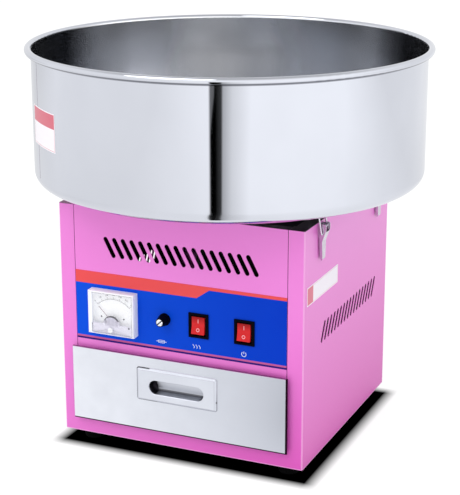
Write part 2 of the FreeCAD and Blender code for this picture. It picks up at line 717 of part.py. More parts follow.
def top_deck():
    edge = sheet_wall + fit_gap
    plate = box("deck_sheet", (edge - half_width, half_width - edge), (edge - half_depth, half_depth - edge),
                (deck_foot, deck_top))
    opening = rod("deck_hole", hub_radius + 10, 6, (0, 0, deck_foot - 2))
    return node("top_deck", cut("top_deck", plate, [opening]))


def base_pan():
    part = body("base_pan")
    edge = sheet_wall + fit_gap
    add_box(part, "base_sheet", (edge - half_width, half_width - edge), (edge - half_depth, half_depth - edge),
            (casing_foot + sheet_wall, base_top))
    cut_foot_holes(part, casing_foot + sheet_wall)
    for number in range(-2, 3):
        drawing = sketch(part, f"base_vent_{number + 2}", "XY_Plane")
        across = base_vent_pitch * number
        slot(drawing, (across, base_vent_half), (across, -base_vent_half), base_vent_radius)
        pocket(part, drawing, foot_height * 3, both_ways=True)
    return node("base_pan", part)


def rubber_feet():
    feet = []
    for number, (x, y) in enumerate(foot_places()):
        cone = doc.addObject("Part::Cone", f"foot_cone_{number}")
        bind(cone, "Radius1", foot_radius - foot_taper)
        bind(cone, "Radius2", foot_radius)
        bind(cone, "Height", foot_height)
        put(cone, x, y, 0)
        recess = rod(f"foot_recess_{number}", foot_screw_radius * 2 + fit_gap * 2, foot_height / 2, (x, y, 0))
        bore = rod(f"foot_bore_{number}", foot_screw_radius + screw_gap, foot_height, (x, y, 0))
        feet.append(cut(f"foot_{number}", cone, [recess, bore]))
    return node("rubber_feet", group("rubber_feet", feet))


def foot_screws():
    """Screws up through the feet, each with its nut on the base pan."""
    screws = []
    for number, (x, y) in enumerate(foot_places()):
        head = rod(f"foot_screw_head_{number}", foot_screw_radius * 2, 3, (x, y, foot_height / 2 - 3))
        shank = rod(f"foot_screw_shank_{number}", foot_screw_radius, base_top + 6 - foot_height / 2,
                    (x, y, foot_height / 2))
        nut = hexagon(f"foot_nut_{number}", foot_screw_radius * 1.9, 4, (x, y, base_top))
        screws.append(fuse(f"foot_screw_{number}", [head, shank, nut]))
    return node("foot_screws", group("foot_screws", screws))


# ---------------------------------------------------------------- voltmeter

def meter_spot():
    return meter_place, casing_foot + meter_level


def meter_case():
    """Square front inside the clear cover, with a round barrel behind the panel."""
    x, z = meter_spot()
    inset = meter_cover_wall + fit_gap
    half, rise = meter_width / 2 - inset, meter_height / 2 - inset
    front = box("meter_front", (x - half, x + half), (panel_face - meter_base, panel_face),
                (z - rise, z + rise))
    barrel = rod("meter_barrel", meter_barrel_radius, meter_barrel_length, (x, panel_face, z), "Y")
    spindle_hole = rod("meter_spindle_hole", spindle_radius + screw_gap, 12,
                       (x, panel_face - meter_base - 1, z - meter_pivot_drop), "Y")
    return node("meter_case", cut("meter_case", fuse("meter_case_blank", [front, barrel]), [spindle_hole]))


def meter_dial():
    x, z = meter_spot()
    inset = meter_cover_wall + fit_gap
    half, rise = meter_width / 2 - inset, meter_height / 2 - inset
    face = panel_face - meter_base
    plate = box("dial_plate", (x - half, x + half), (face - meter_dial_thickness, face),
                (z - rise, z + rise))
    hole = rod("dial_hole", spindle_radius + screw_gap, 4, (x, face - 2, z - meter_pivot_drop), "Y")
    return node("meter_dial", cut("meter_dial", plate, [hole]))


def meter_cover():
    """Clear cover that reaches back to the panel, open at the back."""
    x, z = meter_spot()
    half, rise = meter_width / 2, meter_height / 2
    front, back = panel_face - meter_proud, panel_face
    part = body("meter_cover")
    blank = add_box(part, "cover_block", (x - half, x + half), (front, back), (z - rise, z + rise))
    soften(part, blank, 1.2, lambda edge: near(edge.BoundBox.YMin, front)
           and near(edge.BoundBox.YMax, front), "Chamfer")
    wall = meter_cover_wall
    cut_box(part, "cover_hollow", (x - half + wall, x + half - wall), (front + wall, back + 1),
            (z - rise + wall, z + rise - wall))
    cut_rod(part, "cover_screw_hole", zero_shank_radius + screw_gap, 6,
            (x, front - 1, z - zero_screw_drop), "Y")
    return node("meter_cover", part)


def meter_mask():
    """Moulding behind the lower half of the clear cover, arched over the needle's pivot."""
    x, z = meter_spot()
    part = body("meter_mask")
    inner = panel_face - meter_proud + meter_cover_wall
    half = meter_width / 2 - meter_cover_wall - fit_gap
    low = z - meter_height / 2 + meter_cover_wall + fit_gap
    add_box(part, "mask_plate", (x - half, x + half), (inner, inner + mask_thickness), (low, low + mask_band))
    add_rod(part, "mask_arch", mask_arch_radius, mask_thickness, (x, inner, z - meter_pivot_drop), "Y")
    cut_rod(part, "mask_screw_hole", zero_shank_radius + screw_gap, 6,
            (x, inner - 1, z - zero_screw_drop), "Y")
    return node("meter_mask", part)


def meter_needle():
    """Needle at zero, pointing up and to the left, on its spindle."""
    x, z = meter_spot()
    pivot = z - meter_pivot_drop
    back = panel_face - meter_base - meter_dial_thickness
    spindle = rod("needle_spindle", spindle_radius, 9, (x, back - 3, pivot), "Y")
    boss = rod("needle_boss", spindle_radius * 3, 1.2, (x, back - 2.4, pivot), "Y")
    pointer = doc.addObject("Part::Box", "needle_pointer")
    bind(pointer, "Length", needle_width)
    bind(pointer, "Width", needle_width)
    bind(pointer, "Height", meter_needle_length)
    corner = needle_width / 2 * math.sqrt(0.5)
    put(pointer, x - corner, back - 2.1, pivot - corner, axis=(0, 1, 0), turn=-45)
    return node("meter_needle", fuse("meter_needle", [spindle, boss, pointer]))


def meter_zero_screw():
    x, z = meter_spot()
    front = panel_face - meter_proud
    level = z - zero_screw_drop
    head = rod("zero_head", zero_screw_radius, 1.3, (x, front - 1.5, level), "Y")
    shank = rod("zero_shank", zero_shank_radius, 5, (x, front - 0.3, level), "Y")
    groove = box("zero_groove", (x - zero_screw_radius, x + zero_screw_radius), (front - 2, front - 0.9),
                 (level - 0.4, level + 0.4))
    return node("meter_zero_screw", cut("meter_zero_screw", fuse("zero_blank", [head, shank]), [groove]))


# ---------------------------------------------------------------- fuse and switches

def fuse_holder():
    x, z = fuse_place, casing_foot + fuse_level
    front = panel_face - fuse_rim_thickness
    rim = rod("fuse_rim", fuse_barrel_radius + fuse_rim_width, fuse_rim_thickness, (x, front, z), "Y")
    barrel = rod("fuse_barrel", fuse_barrel_radius, fuse_barrel_length, (x, panel_face, z), "Y")
    nut = hexagon("fuse_nut", fuse_barrel_radius + 4.5, 4, (x, sheet_wall - half_depth, z), "Y")
    bore = rod("fuse_bore", fuse_link_radius + 1 + fit_gap, fuse_barrel_length + 1, (x, front - 1, z), "Y")
    return node("fuse_holder", cut("fuse_holder", fuse("fuse_holder_blank", [rim, barrel, nut]), [bore]))


def fuse_cap():
    """Tapered turning cap with a grooved recess in its end and a stem that holds the fuse."""
    x, z = fuse_place, casing_foot + fuse_level
    back = panel_face - fuse_rim_thickness - fit_gap
    front = back - fuse_cap_length
    part = body("fuse_cap")
    knob = part.newObject("PartDesign::AdditiveCone", "fuse_knob")
    bind(knob, "Radius1", fuse_cap_tip)
    bind(knob, "Radius2", fuse_cap_radius)
    bind(knob, "Height", fuse_cap_length)
    put(knob, x, front, z, axis=(1, 0, 0), turn=-90)
    soften(part, knob, 0.8, lambda edge: near(edge.BoundBox.YMax, front), "Chamfer")
    add_rod(part, "fuse_stem", fuse_link_radius + 1, 6, (x, back, z), "Y")
    cut_rod(part, "fuse_recess", fuse_recess_radius, fuse_recess_depth + 1, (x, front - 1, z), "Y")
    floor = front + fuse_recess_depth
    half = fuse_recess_radius - fit_gap
    cut_box(part, "fuse_groove", (x - half, x + half), (floor - 1, floor + 1.2), (z - 0.8, z + 0.8))
    return node("fuse_cap", part)


def fuse_link():
    x, z = fuse_place, casing_foot + fuse_level
    start = panel_face - fuse_rim_thickness - fit_gap + 6
    glass = rod("fuse_glass", fuse_link_radius - 0.2, fuse_link_length, (x, start, z), "Y")
    ends = [rod(f"fuse_end_{number}", fuse_link_radius, 5, (x, start + at, z), "Y")
            for number, at in enumerate((0, fuse_link_length - 5))]
    return node("fuse_link", fuse("fuse_link", [glass] + ends))


def switch_housing(name, place):
    """Bezel and hollow body, with two pivot holes and three blade terminals."""
    level = casing_foot + switch_level
    bezel = box(name + "_bezel", (place - bezel_width / 2, place + bezel_width / 2),
                (panel_face - bezel_proud, panel_face), (level - bezel_height / 2, level + bezel_height / 2))
    back = panel_face + switch_body_depth
    block = box(name + "_block", (place - switch_body_width / 2, place + switch_body_width / 2),
                (panel_face, back), (level - switch_body_height / 2, level + switch_body_height / 2))
    blades = [box(f"{name}_blade_{step + 1}", (place - 2.4, place + 2.4), (back, back + 8),
                  (level + step * 8 - 0.4, level + step * 8 + 0.4)) for step in (-1, 0, 1)]
    inner_width = switch_body_width / 2 - switch_wall
    inner_height = switch_body_height / 2 - switch_wall
    hollow = box(name + "_hollow", (place - inner_width, place + inner_width),
                 (panel_face - bezel_proud - 1, back - switch_wall),
                 (level - inner_height, level + inner_height))
    pivot = rod(name + "_pivot_hole", rocker_pin_radius + pivot_gap, switch_body_width + 2,
                (place - switch_body_width / 2 - 1, panel_face + rocker_pivot_depth, level), "X")
    return cut(name + "_housing", fuse(name + "_housing_blank", [bezel, block] + blades), [hollow, pivot])


def switch_housings():
    pair = [switch_housing(name, place) for name, place in (("heat", heat_place), ("power", power_place))]
    return node("switch_housings", group("switch_housings", pair))


def rocker(name, place):
    """Rocker tipped to on: its upper half is pressed in, its lower half stands out."""
    part = body(name)
    drawing = sketch(part, name + "_profile", "YZ_Plane")
    reach = switch_body_height / 2 - switch_wall - fit_gap
    outward = bezel_proud + rocker_pivot_depth + rocker_proud
    end = reach * 0.86
    outline(drawing, [(4, -end * 0.75), (4, end * 0.75), (-outward, end), (rocker_dip - outward, 0),
                      (-outward, -end)])
    pad(part, drawing, rocker_width, both_ways=True)
    pin_half = switch_body_width / 2 - fit_gap
    add_rod(part, name + "_pin", rocker_pin_radius, pin_half * 2, (-pin_half, 0, 0), "X")
    put(part, place, panel_face + rocker_pivot_depth, casing_foot + switch_level, axis=(1, 0, 0), turn=-6)
    return node(name, part)


# ---------------------------------------------------------------- drawer

def drawer_front():
    """Stainless front with a narrow folded edge and a slot for the pull's pocket."""
    part = body("drawer_front")
    half = drawer_width / 2
    front = -half_depth - drawer_proud
    back = front + drawer_fold
    blank = add_box(part, "front_blank", (-half, half), (front, back), (drawer_foot, drawer_top))
    soften(part, blank, 1.2, lambda edge: near(edge.BoundBox.YMin, front)
           and near(edge.BoundBox.YMax, front))
    cut_box(part, "front_hollow", (drawer_wall - half, half - drawer_wall), (front + drawer_wall, back + 1),
            (drawer_foot + drawer_wall, drawer_top - drawer_wall))
    drawing = sketch(part, "front_pull_slot", "XZ_Plane")
    pull_slot(drawing, pocket_wall + fit_gap)
    pocket(part, drawing, casing_depth + drawer_proud * 3, both_ways=True)
    return node("drawer_front", part)


def pull_slot(drawing, margin):
    level = drawer_foot + pull_level - pocket_drop
    reach = pocket_length / 2 - pocket_height / 2
    return slot(drawing, (-reach, level), (reach, level), pocket_height / 2 + margin)


def drawer_box():
    """Open sheet box with lips along both sides; its front wall is spot-welded to the drawer front."""
    part = body("drawer_box")
    half = box_width / 2
    front = -half_depth - drawer_proud + drawer_wall
    back = box_depth - half_depth
    foot = opening_foot + box_lift
    top = foot + box_height
    add_box(part, "box_block", (-half, half), (front, back), (foot, top))
    for name, x in (("left", (-half - lip_width, -half)), ("right", (half, half + lip_width))):
        add_box(part, f"box_{name}_lip", x, (runner_setback - half_depth, back), (top - drawer_wall, top))
    cut_box(part, "box_hollow", (drawer_wall - half, half - drawer_wall),
            (front + drawer_wall, back - drawer_wall), (foot + drawer_wall, top + 1))
    drawing = sketch(part, "box_pull_slot", "XZ_Plane", half_depth)
    pull_slot(drawing, pocket_wall + fit_gap)
    pocket(part, drawing, drawer_proud * 4, both_ways=True)
    return node("drawer_box", part)


def drawer_handle():
    """Flush pull: a bevelled plate on the drawer front with a round-ended pocket for the fingers."""
    part = body("drawer_handle")
    face = half_depth + drawer_proud
    half = pull_width / 2
    level = drawer_foot + pull_level
    plate = add_box(part, "pull_plate_blank", (-half, half), (-face - pull_plate, -face),
                    (level - pull_height / 2, level + pull_height / 2))
    corners = [(sx * half, level + sz * pull_height / 2) for sx in (-1, 1) for sz in (-1, 1)]
    rounded = soften(part, plate, pull_corner, lambda edge: any(
        near(edge.BoundBox.XMin, x) and near(edge.BoundBox.XMax, x)
        and near(edge.BoundBox.ZMin, z) and near(edge.BoundBox.ZMax, z) for x, z in corners))
    front = -face - pull_plate
    soften(part, rounded, pull_bevel, lambda edge: near(edge.BoundBox.YMin, front)
           and near(edge.BoundBox.YMax, front), "Chamfer")
    cup = sketch(part, "pull_cup", "XZ_Plane", face - pocket_depth)
    pull_slot(cup, pocket_wall)
    pad(part, cup, pocket_depth)
    hollow = sketch(part, "pull_hollow", "XZ_Plane", face + pull_plate)
    pull_slot(hollow, 0)
    pressed = pocket(part, hollow, pocket_depth + pull_plate - pocket_wall)
    floor = pocket_depth - pocket_wall - face
    rounded = soften(part, pressed, pocket_round, lambda edge: near(edge.BoundBox.YMin, floor)
                     and near(edge.BoundBox.YMax, floor))
    soften(part, rounded, pocket_rim, lambda edge: near(edge.BoundBox.YMin, front)
           and near(edge.BoundBox.YMax, front) and abs(edge.CenterOfMass.x) < float(pocket_length) / 2 + 0.1
           and edge.BoundBox.XLength < float(pocket_length))
    return node("drawer_handle", part)


def drawer_runners():
    """Channels on the base pan that the drawer's lips slide in."""
    runners = []
    lip_top = opening_foot + box_lift + box_height
    ledge = lip_top - drawer_wall - fit_gap
    inner = box_width / 2 + 2
    web = box_width / 2 + lip_width + fit_gap
    start = runner_setback - half_depth
    y = (start, start + runner_length)
    for name, side in (("left", -1), ("right", 1)):
        def across(low, high):
            return (low, high) if side > 0 else (-high, -low)
        pieces = [
            box(f"runner_{name}_web", across(web, web + runner_wall), y, (base_top, ledge + runner_channel)),
            box(f"runner_{name}_foot", across(web, web + runner_foot), y, (base_top, base_top + runner_wall)),
            box(f"runner_{name}_ledge", across(inner, web), y, (ledge - runner_wall, ledge)),
            box(f"runner_{name}_guide", across(inner, web), y,
                (ledge + runner_channel - runner_wall, ledge + runner_channel))]
        runners.append(fuse(f"runner_{name}", pieces))
    return node("drawer_runners", group("drawer_runners", runners))


# ---------------------------------------------------------------- bowl

def bowl():
    """Spun pan with a rolled bead at the rim and a collar round the hole in its middle."""
    part = body("bowl")
    wall_inside = bowl_radius - bowl_wall
    floor = bowl_foot + bowl_wall
    collar = bowl_hole_radius + bowl_wall
    profile = [(bowl_hole_radius, bowl_foot), (bowl_radius, bowl_foot), (bowl_radius, bead_level),
               (wall_inside, bead_level), (wall_inside, floor), (collar, floor),
               (collar, bowl_foot + collar_height), (bowl_hole_radius, bowl_foot + collar_height)]
    pan = revolve(part, outline(sketch(part, "bowl_profile", "XZ_Plane"), profile))
    outside = soften(part, pan, bowl_corner, circle_at(bowl_radius, bowl_foot))
    soften(part, outside, bowl_corner - bowl_wall, circle_at(wall_inside, floor))
    bead = sketch(part, "bead_section", "XZ_Plane")
    circle(bead, (bowl_radius + bead_radius - bowl_wall + 0.2, bead_level), bead_radius)
    revolve(part, bead)
    return node("bowl", part)


def bowl_seat_ring():
    """Pressed ring on the deck that carries the bowl."""
    top = bowl_foot - gasket_height
    inner, outer, web = seat_radius, seat_radius + seat_flange, seat_radius + seat_wall
    profile = [(inner, deck_top), (outer, deck_top), (outer, deck_top + seat_wall), (web, deck_top + seat_wall),
               (web, top - seat_wall), (outer, top - seat_wall), (outer, top), (inner, top)]
    return node("bowl_seat_ring", turned("bowl_seat_ring", profile))


def bowl_gasket():
    return node("bowl_gasket", tube("bowl_gasket", seat_radius, seat_radius + seat_flange,
                                    bowl_foot - gasket_height, bowl_foot))


def spindle_guard():
    """Cone round the spindle that keeps sugar out of the motor; its foot flange is on the deck."""
    top = deck_top + guard_height
    inner = shaft_radius + guard_gap
    shoulder = guard_radius - guard_slope
    profile = [(guard_radius - seat_wall, deck_top), (guard_radius, deck_top), (shoulder, top), (inner, top),
               (inner, top - seat_wall), (shoulder - seat_wall, top - seat_wall)]
    return node("spindle_guard", turned("spindle_guard", profile))


def bowl_catches():
    """Four angle catches welded under the bowl for the bails."""
    catches = []
    wire = half_width + hinge_proud - bail_inset - bail_lean
    cross_wire = casing_top - hinge_drop - bail_drop + bail_length
    ledge = cross_wire - bail_wire - fit_gap
    for side in (-1, 1):
        for end in (-1, 1):
            name = f"catch_{side + 1}{end + 1}"
            def across(low, high):
                return (low, high) if side > 0 else (-high, -low)
            y = (end * latch_spread - catch_half_width, end * latch_spread + catch_half_width)
            web = box(name + "_web", across(wire - catch_depth, wire - catch_depth + catch_wall), y,
                      (ledge - catch_wall, bowl_foot))
            shelf = box(name + "_ledge", across(wire - catch_depth, wire + catch_reach), y,
                        (ledge - catch_wall, ledge))
            catches.append(fuse(name, [web, shelf]))
    return node("bowl_catches", group("bowl_catches", catches))


# ---------------------------------------------------------------- latches

LATCHES = {"front_left": (-1, -1), "front_right": (1, -1), "rear_left": (-1, 1), "rear_right": (1, 1)}


def seat_latch(thing, side, end):
    """Places a latch piece, drawn outwards from the casing's side, on one of the four spots."""
    return put(thing, side * half_width, end * latch_spread, 0, turn=0 if side > 0 else 180)


def latch_hinge():
    return hinge_proud, casing_top - hinge_drop


def latch_bases():
    bases = []
    x, z = latch_hinge()
    for name, (side, end) in LATCHES.items():
        half = ear_inner + ear_wall
        plate = box(f"base_plate_{name}", (0, ear_wall), (-half, half),
                    (z - latch_base_foot, z + latch_base_head))
        ears = [box(f"base_ear_{name}_{number}", (ear_wall, x + ear_reach), y,
                    (z - ear_foot, z + ear_head))
                for number, y in enumerate(((-half, -ear_inner), (ear_inner, half)))]
        hole = rod(f"base_hole_{name}", hinge_pin_radius, half * 2 + 2, (x, -half - 1, z), "Y")
        bases.append(seat_latch(cut(f"latch_base_{name}", fuse(f"base_blank_{name}", [plate] + ears), [hole]),
                                side, end))
    return node("latch_bases", group("latch_bases", bases))


def latch_pins():
    x, z = latch_hinge()
    half = lever_inner + lever_wall + pin_head
    pins = [rod(f"hinge_pin_{name}", hinge_pin_radius, half * 2,
                (side * (half_width + x), end * latch_spread - half, z), "Y")
            for name, (side, end) in LATCHES.items()]
    return node("latch_pins", group("latch_pins", pins))


def lever_blank(name, corners, half_head, half_tip):
    """A block with the given side view that narrows from the bail's pivot to the finger end."""
    part = body(name)
    pad(part, outline(sketch(part, name + "_side", "XZ_Plane"), corners), half_head * 2, both_ways=True)
    hinge_level = latch_hinge()[1]
    high = hinge_level - bail_drop - bail_wire * 2
    low = hinge_level - lever_length - 2
    taper = sketch(part, name + "_taper", "YZ_Plane")
    for sign in (-1, 1):
        outline(taper, [(sign * half_head, high), (sign * (half_head + 3), high),
                        (sign * (half_head + 3), low), (sign * half_tip, low)])
    pocket(part, taper, casing_width, both_ways=True)
    return part


def latch_lever(name, side, end):
    """Channel-shaped lever whose flanges reach back to the casing; it narrows to its finger end."""
    x, z = latch_hinge()
    width = lever_inner + lever_wall
    inside = x + lever_reach
    face = inside + lever_wall
    tip = z - lever_length
    shoulder, bend = z - lever_shoulder, z - lever_bend
    head = z + latch_base_head
    back = x - lever_back
    shelf = z - bail_drop - bail_wire * 2
    end_face = lever_stand + lever_depth
    end_inside = end_face - lever_wall
    outer = lever_blank("lever_" + name, [
        (back, head - lever_corner), (back + lever_corner, head), (face - lever_corner, head),
        (face, head - lever_corner), (face, shoulder), (end_face, bend), (end_face, tip + lever_corner),
        (end_face - lever_wall, tip), (lever_stand + lever_corner, tip),
        (lever_stand, tip + lever_corner * 4), (lever_stand, shelf), (back, shelf + lever_back)],
        width, lever_tip)
    channel = lever_blank("channel_" + name, [
        (-1, head + 2), (inside, head + 2), (inside, shoulder), (end_inside, bend), (end_inside, tip - 2),
        (-1, tip - 2)], lever_inner, lever_tip - lever_wall)
    notch = box(f"lever_{name}_notch", (0, face + 1), (-ear_inner - ear_wall, ear_inner + ear_wall),
                (z - ear_foot - 1, head + 2))
    hinge_hole = rod(f"lever_{name}_hinge_hole", hinge_pin_radius + pivot_gap, width * 2 + 2,
                     (x, -width - 1, z), "Y")
    bail_hole = rod(f"lever_{name}_bail_hole", bail_wire + pivot_gap, width * 2 + 2,
                    (x - bail_inset, -width - 1, z - bail_drop), "Y")
    removed = fuse(f"lever_{name}_removed", [channel, notch, hinge_hole, bail_hole])
    return node("latch_lever_" + name, seat_latch(cut("latch_lever_" + name, outer, [removed]), side, end))


def bail_path():
    """Middle line of the bent wire, in the latch's own frame; its legs lean towards the casing."""
    x = float(hinge_proud - bail_inset)
    over = x - float(bail_lean)
    low = float(casing_top - hinge_drop - bail_drop)
    high = low + float(bail_length)
    inner = float(lever_inner)
    outer = float(bail_half_width)
    bend = float(bail_bend)
    corners = [Vector(x, -inner, low), Vector(x, -outer, low), Vector(over, -outer, high),
               Vector(over, outer, high), Vector(x, outer, low), Vector(x, inner, low)]
    edges = []
    start = corners[0]
    for before, corner, after in zip(corners, corners[1:], corners[2:]):
        back = (before - corner).normalize()
        ahead = (after - corner).normalize()
        entry, leave = corner + back * bend, corner + ahead * bend
        middle = corner + (back + ahead) * bend - (back + ahead).normalize() * bend
        edges += [Part.LineSegment(start, entry).toShape(), Part.Arc(entry, middle, leave).toShape()]
        start = leave
    edges.append(Part.LineSegment(start, corners[-1]).toShape())
    return Part.Wire(edges)


def latch_bail(name, side, end):
    """Wire bail: two legs, a cross wire over the catch, and ends bent into the lever."""
    path = bail_path()
    start = path.Edges[0]
    ring = Part.Wire(Part.makeCircle(float(bail_wire), start.valueAt(start.FirstParameter),
                                     start.tangentAt(start.FirstParameter)))
    bail = doc.addObject("Part::Feature", "bail_" + name)
    bail.Shape = path.makePipeShell([ring], True, False)
    return node("latch_bail_" + name, seat_latch(bail, side, end))


# ---------------------------------------------------------------- motor and drive

def mount_places():
    reach = mount_circle / math.sqrt(2)
    return [(sx * reach, sy * reach) for sx in (-1, 1) for sy in (-1, 1)]


def motor_can():
    return node("motor_can", tube("motor_can", motor_radius - motor_wall, motor_radius, can_foot, can_top))


def end_bell(name, low, pocket_low, ears):
    """Cast end of the motor with a bearing pocket and the spindle's hole."""
    disc = rod(name + "_disc", motor_radius + bell_overhang, bell_height, (0, 0, low))
    blank = [disc]
    if ears:
        blank += [rod(f"{name}_ear_{number}", standoff_radius + 2, bell_height, (x, y, low))
                  for number, (x, y) in enumerate(mount_places())]
    tools = [rod(name + "_bearing_pocket", bearing_radius, bearing_height + 2, (0, 0, pocket_low)),
             rod(name + "_spindle_hole", shaft_radius + 2, bell_height + 2, (0, 0, low - 1))]
    return cut(name, fuse(name + "_blank", blank), tools)


def motor_end_bells():
    upper = end_bell("upper_bell", can_top, can_top - 1, True)
    lower = end_bell("lower_bell", motor_foot, can_foot - bearing_height - 1, False)
    return node("motor_end_bells", group("motor_end_bells", [upper, lower]))


def motor_bearings():
    outer = bearing_radius - screw_gap / 4
    inner = shaft_radius + pivot_gap
    upper = tube("upper_bearing", inner, outer, can_top + 1, can_top + 1 + bearing_height)
    lower = tube("lower_bearing", inner, outer, can_foot - 1 - bearing_height, can_foot - 1)
    return node("motor_bearings", group("motor_bearings", [upper, lower]))


def motor_mounts():
    mounts = [rod(f"rubber_mount_{number}", standoff_radius, standoff_length, (x, y, motor_top))
              for number, (x, y) in enumerate(mount_places())]
    return node("motor_mounts", group("motor_mounts", mounts))


def motor_shaft():
    """Spindle from under the fan to the floss head."""
    foot = fan_top - fan_hub_height - 3
    top = head_foot + head_hub_height + 2
    return node("motor_shaft", rod("motor_shaft", shaft_radius, top - foot, (0, 0, foot)))


def motor_rotor():
    low = can_foot + (motor_length - rotor_length) / 2
    return node("motor_rotor", tube("motor_rotor", shaft_radius, rotor_radius, low, low + rotor_length))


def cooling_fan():
    part = body("cooling_fan")
    low = fan_top - fan_hub_height
    add_rod(part, "fan_hub", fan_hub_radius, fan_hub_height, (0, 0, low))
    drawing = sketch(part, "fan_blade", "YZ_Plane", fan_hub_radius - 2)
    lean = fan_hub_height / 2 - 1
    middle = low + fan_hub_height / 2
    outline(drawing, [(-lean - 1, middle - lean), (0.2 - lean, middle - lean), (lean + 1, middle + lean),
                      (lean - 0.2, middle + lean)])
    blade = pad(part, drawing, fan_radius - fan_hub_radius + 2)
    ring_of(part, blade, drawing, fan_blades)
    cut_rod(part, "fan_bore", shaft_radius, fan_hub_height + 2, (0, 0, low - 1))
    return node("cooling_fan", part)


def hub_foot():
    return motor_top + 6


def ring_level(number):
    """Middle height of a slip ring."""
    return hub_foot() + hub_height / 2 + (number - 0.5) * ring_pitch


def slip_ring_hub():
    low = hub_foot()
    return node("slip_ring_hub", tube("slip_ring_hub", shaft_radius, hub_radius, low, low + hub_height))


def slip_rings():
    rings = [tube(f"slip_ring_{number}", hub_radius, ring_radius, ring_level(number) - ring_height / 2,
                  ring_level(number) + ring_height / 2) for number in (0, 1)]
    return node("slip_rings", group("slip_rings", rings))


def board_place():
    """X of the brush board's face that looks at the rings."""
    return -ring_radius - brush_length * 0.7


def holder_box(name, number, margin, x):
    level = ring_level(number)
    return box(name, x, (-brush_width / 2 - margin, brush_width / 2 + margin),
               (level - brush_height / 2 - margin, level + brush_height / 2 + margin))


def brush_board():
    """Insulating board hung from the deck beside the slip rings."""
    face = board_place()
    wide = (-board_half_width, board_half_width)
    upright = box("board_upright", (face - board_thickness, face), wide, (motor_top + 2, deck_foot))
    foot = box("board_foot", (face - board_thickness - 12, face), wide,
               (deck_foot - board_thickness, deck_foot))
    holes = [holder_box(f"board_hole_{number}", number, 1.5 + fit_gap, (face - 8, face + 4))
             for number in (0, 1)]
    return node("brush_board", cut("brush_board", fuse("board_blank", [upright, foot]), holes))


def brush_holders():
    face = board_place()
    holders = []
    for number in (0, 1):
        sleeve = holder_box(f"holder_sleeve_{number}", number, 1.5, (face - 8, face + 6))
        collar = holder_box(f"holder_collar_{number}", number, 3, (face, face + 1.5))
        bore = holder_box(f"holder_bore_{number}", number, 0.1, (face - 6.5, face + 8))
        holders.append(cut(f"brush_holder_{number}", fuse(f"holder_blank_{number}", [sleeve, collar]), [bore]))
    return node("brush_holders", group("brush_holders", holders))


def carbon_brushes():
    tip = -ring_radius - fit_gap
    brushes = [holder_box(f"brush_{number}", number, 0, (tip - brush_length, tip)) for number in (0, 1)]
    return node("carbon_brushes", group("carbon_brushes", brushes))


# ---------------------------------------------------------------- floss head

def head_base():
    """Dished plate with a hub on the spindle and an upturned edge for the band."""
    low = head_foot
    profile = [(shaft_radius, low), (head_hub_radius, low), (head_hub_radius, low + 4),
               (head_radius, low + 4), (head_radius, low + 10), (head_radius - head_wall, low + 10),
               (head_radius - head_wall, low + 4 + head_wall), (head_hub_radius, low + 4 + head_wall),
               (head_hub_radius - 2, low + head_hub_height), (shaft_radius, low + head_hub_height)]
    return node("head_base", turned("head_base", profile))


def head_band():
    """Upright band with slots all round, where the melted sugar is flung out."""
    part = body("head_band")
    outer = head_radius - head_wall
    inner = outer - band_wall
    low = head_foot + 4 + head_wall
    high = head_top - head_wall
    revolve(part, outline(sketch(part, "band_profile", "XZ_Plane"),
                          [(inner, low), (outer, low), (outer, high), (inner, high)]))
    drawing = sketch(part, "band_slot", "YZ_Plane")
    radius = band_slot_width / 2
    slot(drawing, (0, low + 10), (0, high - 6), radius)
    hole = pocket(part, drawing, head_radius + 2, along_normal=True)
    ring_of(part, hole, drawing, band_slots)
    return node("head_band", part)


def head_lid():
    """Lid with a rolled-down edge and an upstanding lip round the sugar opening."""
    inner = funnel_radius
    top = head_top
    under = top - head_wall
    profile = [(inner, under), (head_radius - head_wall, under), (head_radius - head_wall, under - 5),
               (head_radius, under - 5), (head_radius, top), (inner + head_wall, top),
               (inner + head_wall, top + funnel_lip), (inner, top + funnel_lip)]
    return node("head_lid", turned("head_lid", profile))


def post_places():
    return [(post_circle * math.cos(math.radians(angle)), post_circle * math.sin(math.radians(angle)))
            for angle in (90, 210, 330)]


def head_posts():
    """Three spacer posts between the base and the lid."""
    low = head_foot + 4 + head_wall
    posts = [rod(f"post_{number}", post_radius, head_top - head_wall - low, (x, y, low))
             for number, (x, y) in enumerate(post_places())]
    return node("head_posts", group("head_posts", posts))


def heating_element():
    """Ring-shaped tube on two insulated terminals."""
    level = head_foot + 4 + head_wall + 10
    ring = doc.addObject("Part::Torus", "element_ring")
    bind(ring, "Radius1", element_radius)
    bind(ring, "Radius2", element_tube)
    put(ring, 0, 0, level)
    ends = [rod(f"element_end_{number}", element_tube - 0.4, 10, (side * element_radius, 0, level - 10))
            for number, side in enumerate((-1, 1))]
    return node("heating_element", fuse("heating_element", [ring] + ends))


def head_nut():
    low = head_foot + head_hub_height
    nut = hexagon("nut_blank", shaft_radius + 4, 7, (0, 0, low))
    bore = rod("nut_bore", shaft_radius, 2, (0, 0, low))
    return node("head_nut", cut("head_nut", nut, [bore]))


# ---------------------------------------------------------------- back and inside fittings

def cable_gland():
    """Gland for the supply lead, with its lock nut inside the back panel."""
    x, z = gland_place, casing_foot + gland_level
    outer = half_depth + sheet_wall
    hex_part = hexagon("gland_hexagon", gland_nut_radius, 5, (x, outer, z), "Y")
    dome = doc.addObject("Part::Cone", "gland_dome")
    bind(dome, "Radius1", gland_nut_radius - 1.5)
    bind(dome, "Radius2", gland_bore_radius + 2.5)
    bind(dome, "Height", 13)
    put(dome, x, outer + 5, z, axis=(1, 0, 0), turn=-90)
    thread = rod("gland_thread", gland_thread_radius, 10, (x, outer - 10, z), "Y")
    lock_nut = hexagon("gland_lock_nut", gland_nut_radius, 4, (x, half_depth - 4, z), "Y")
    bore = rod("gland_bore", gland_bore_radius, 40, (x, outer - 15, z), "Y")
    return node("cable_gland", cut("cable_gland", fuse("gland_blank", [hex_part, dome, thread, lock_nut]),
                                   [bore]))


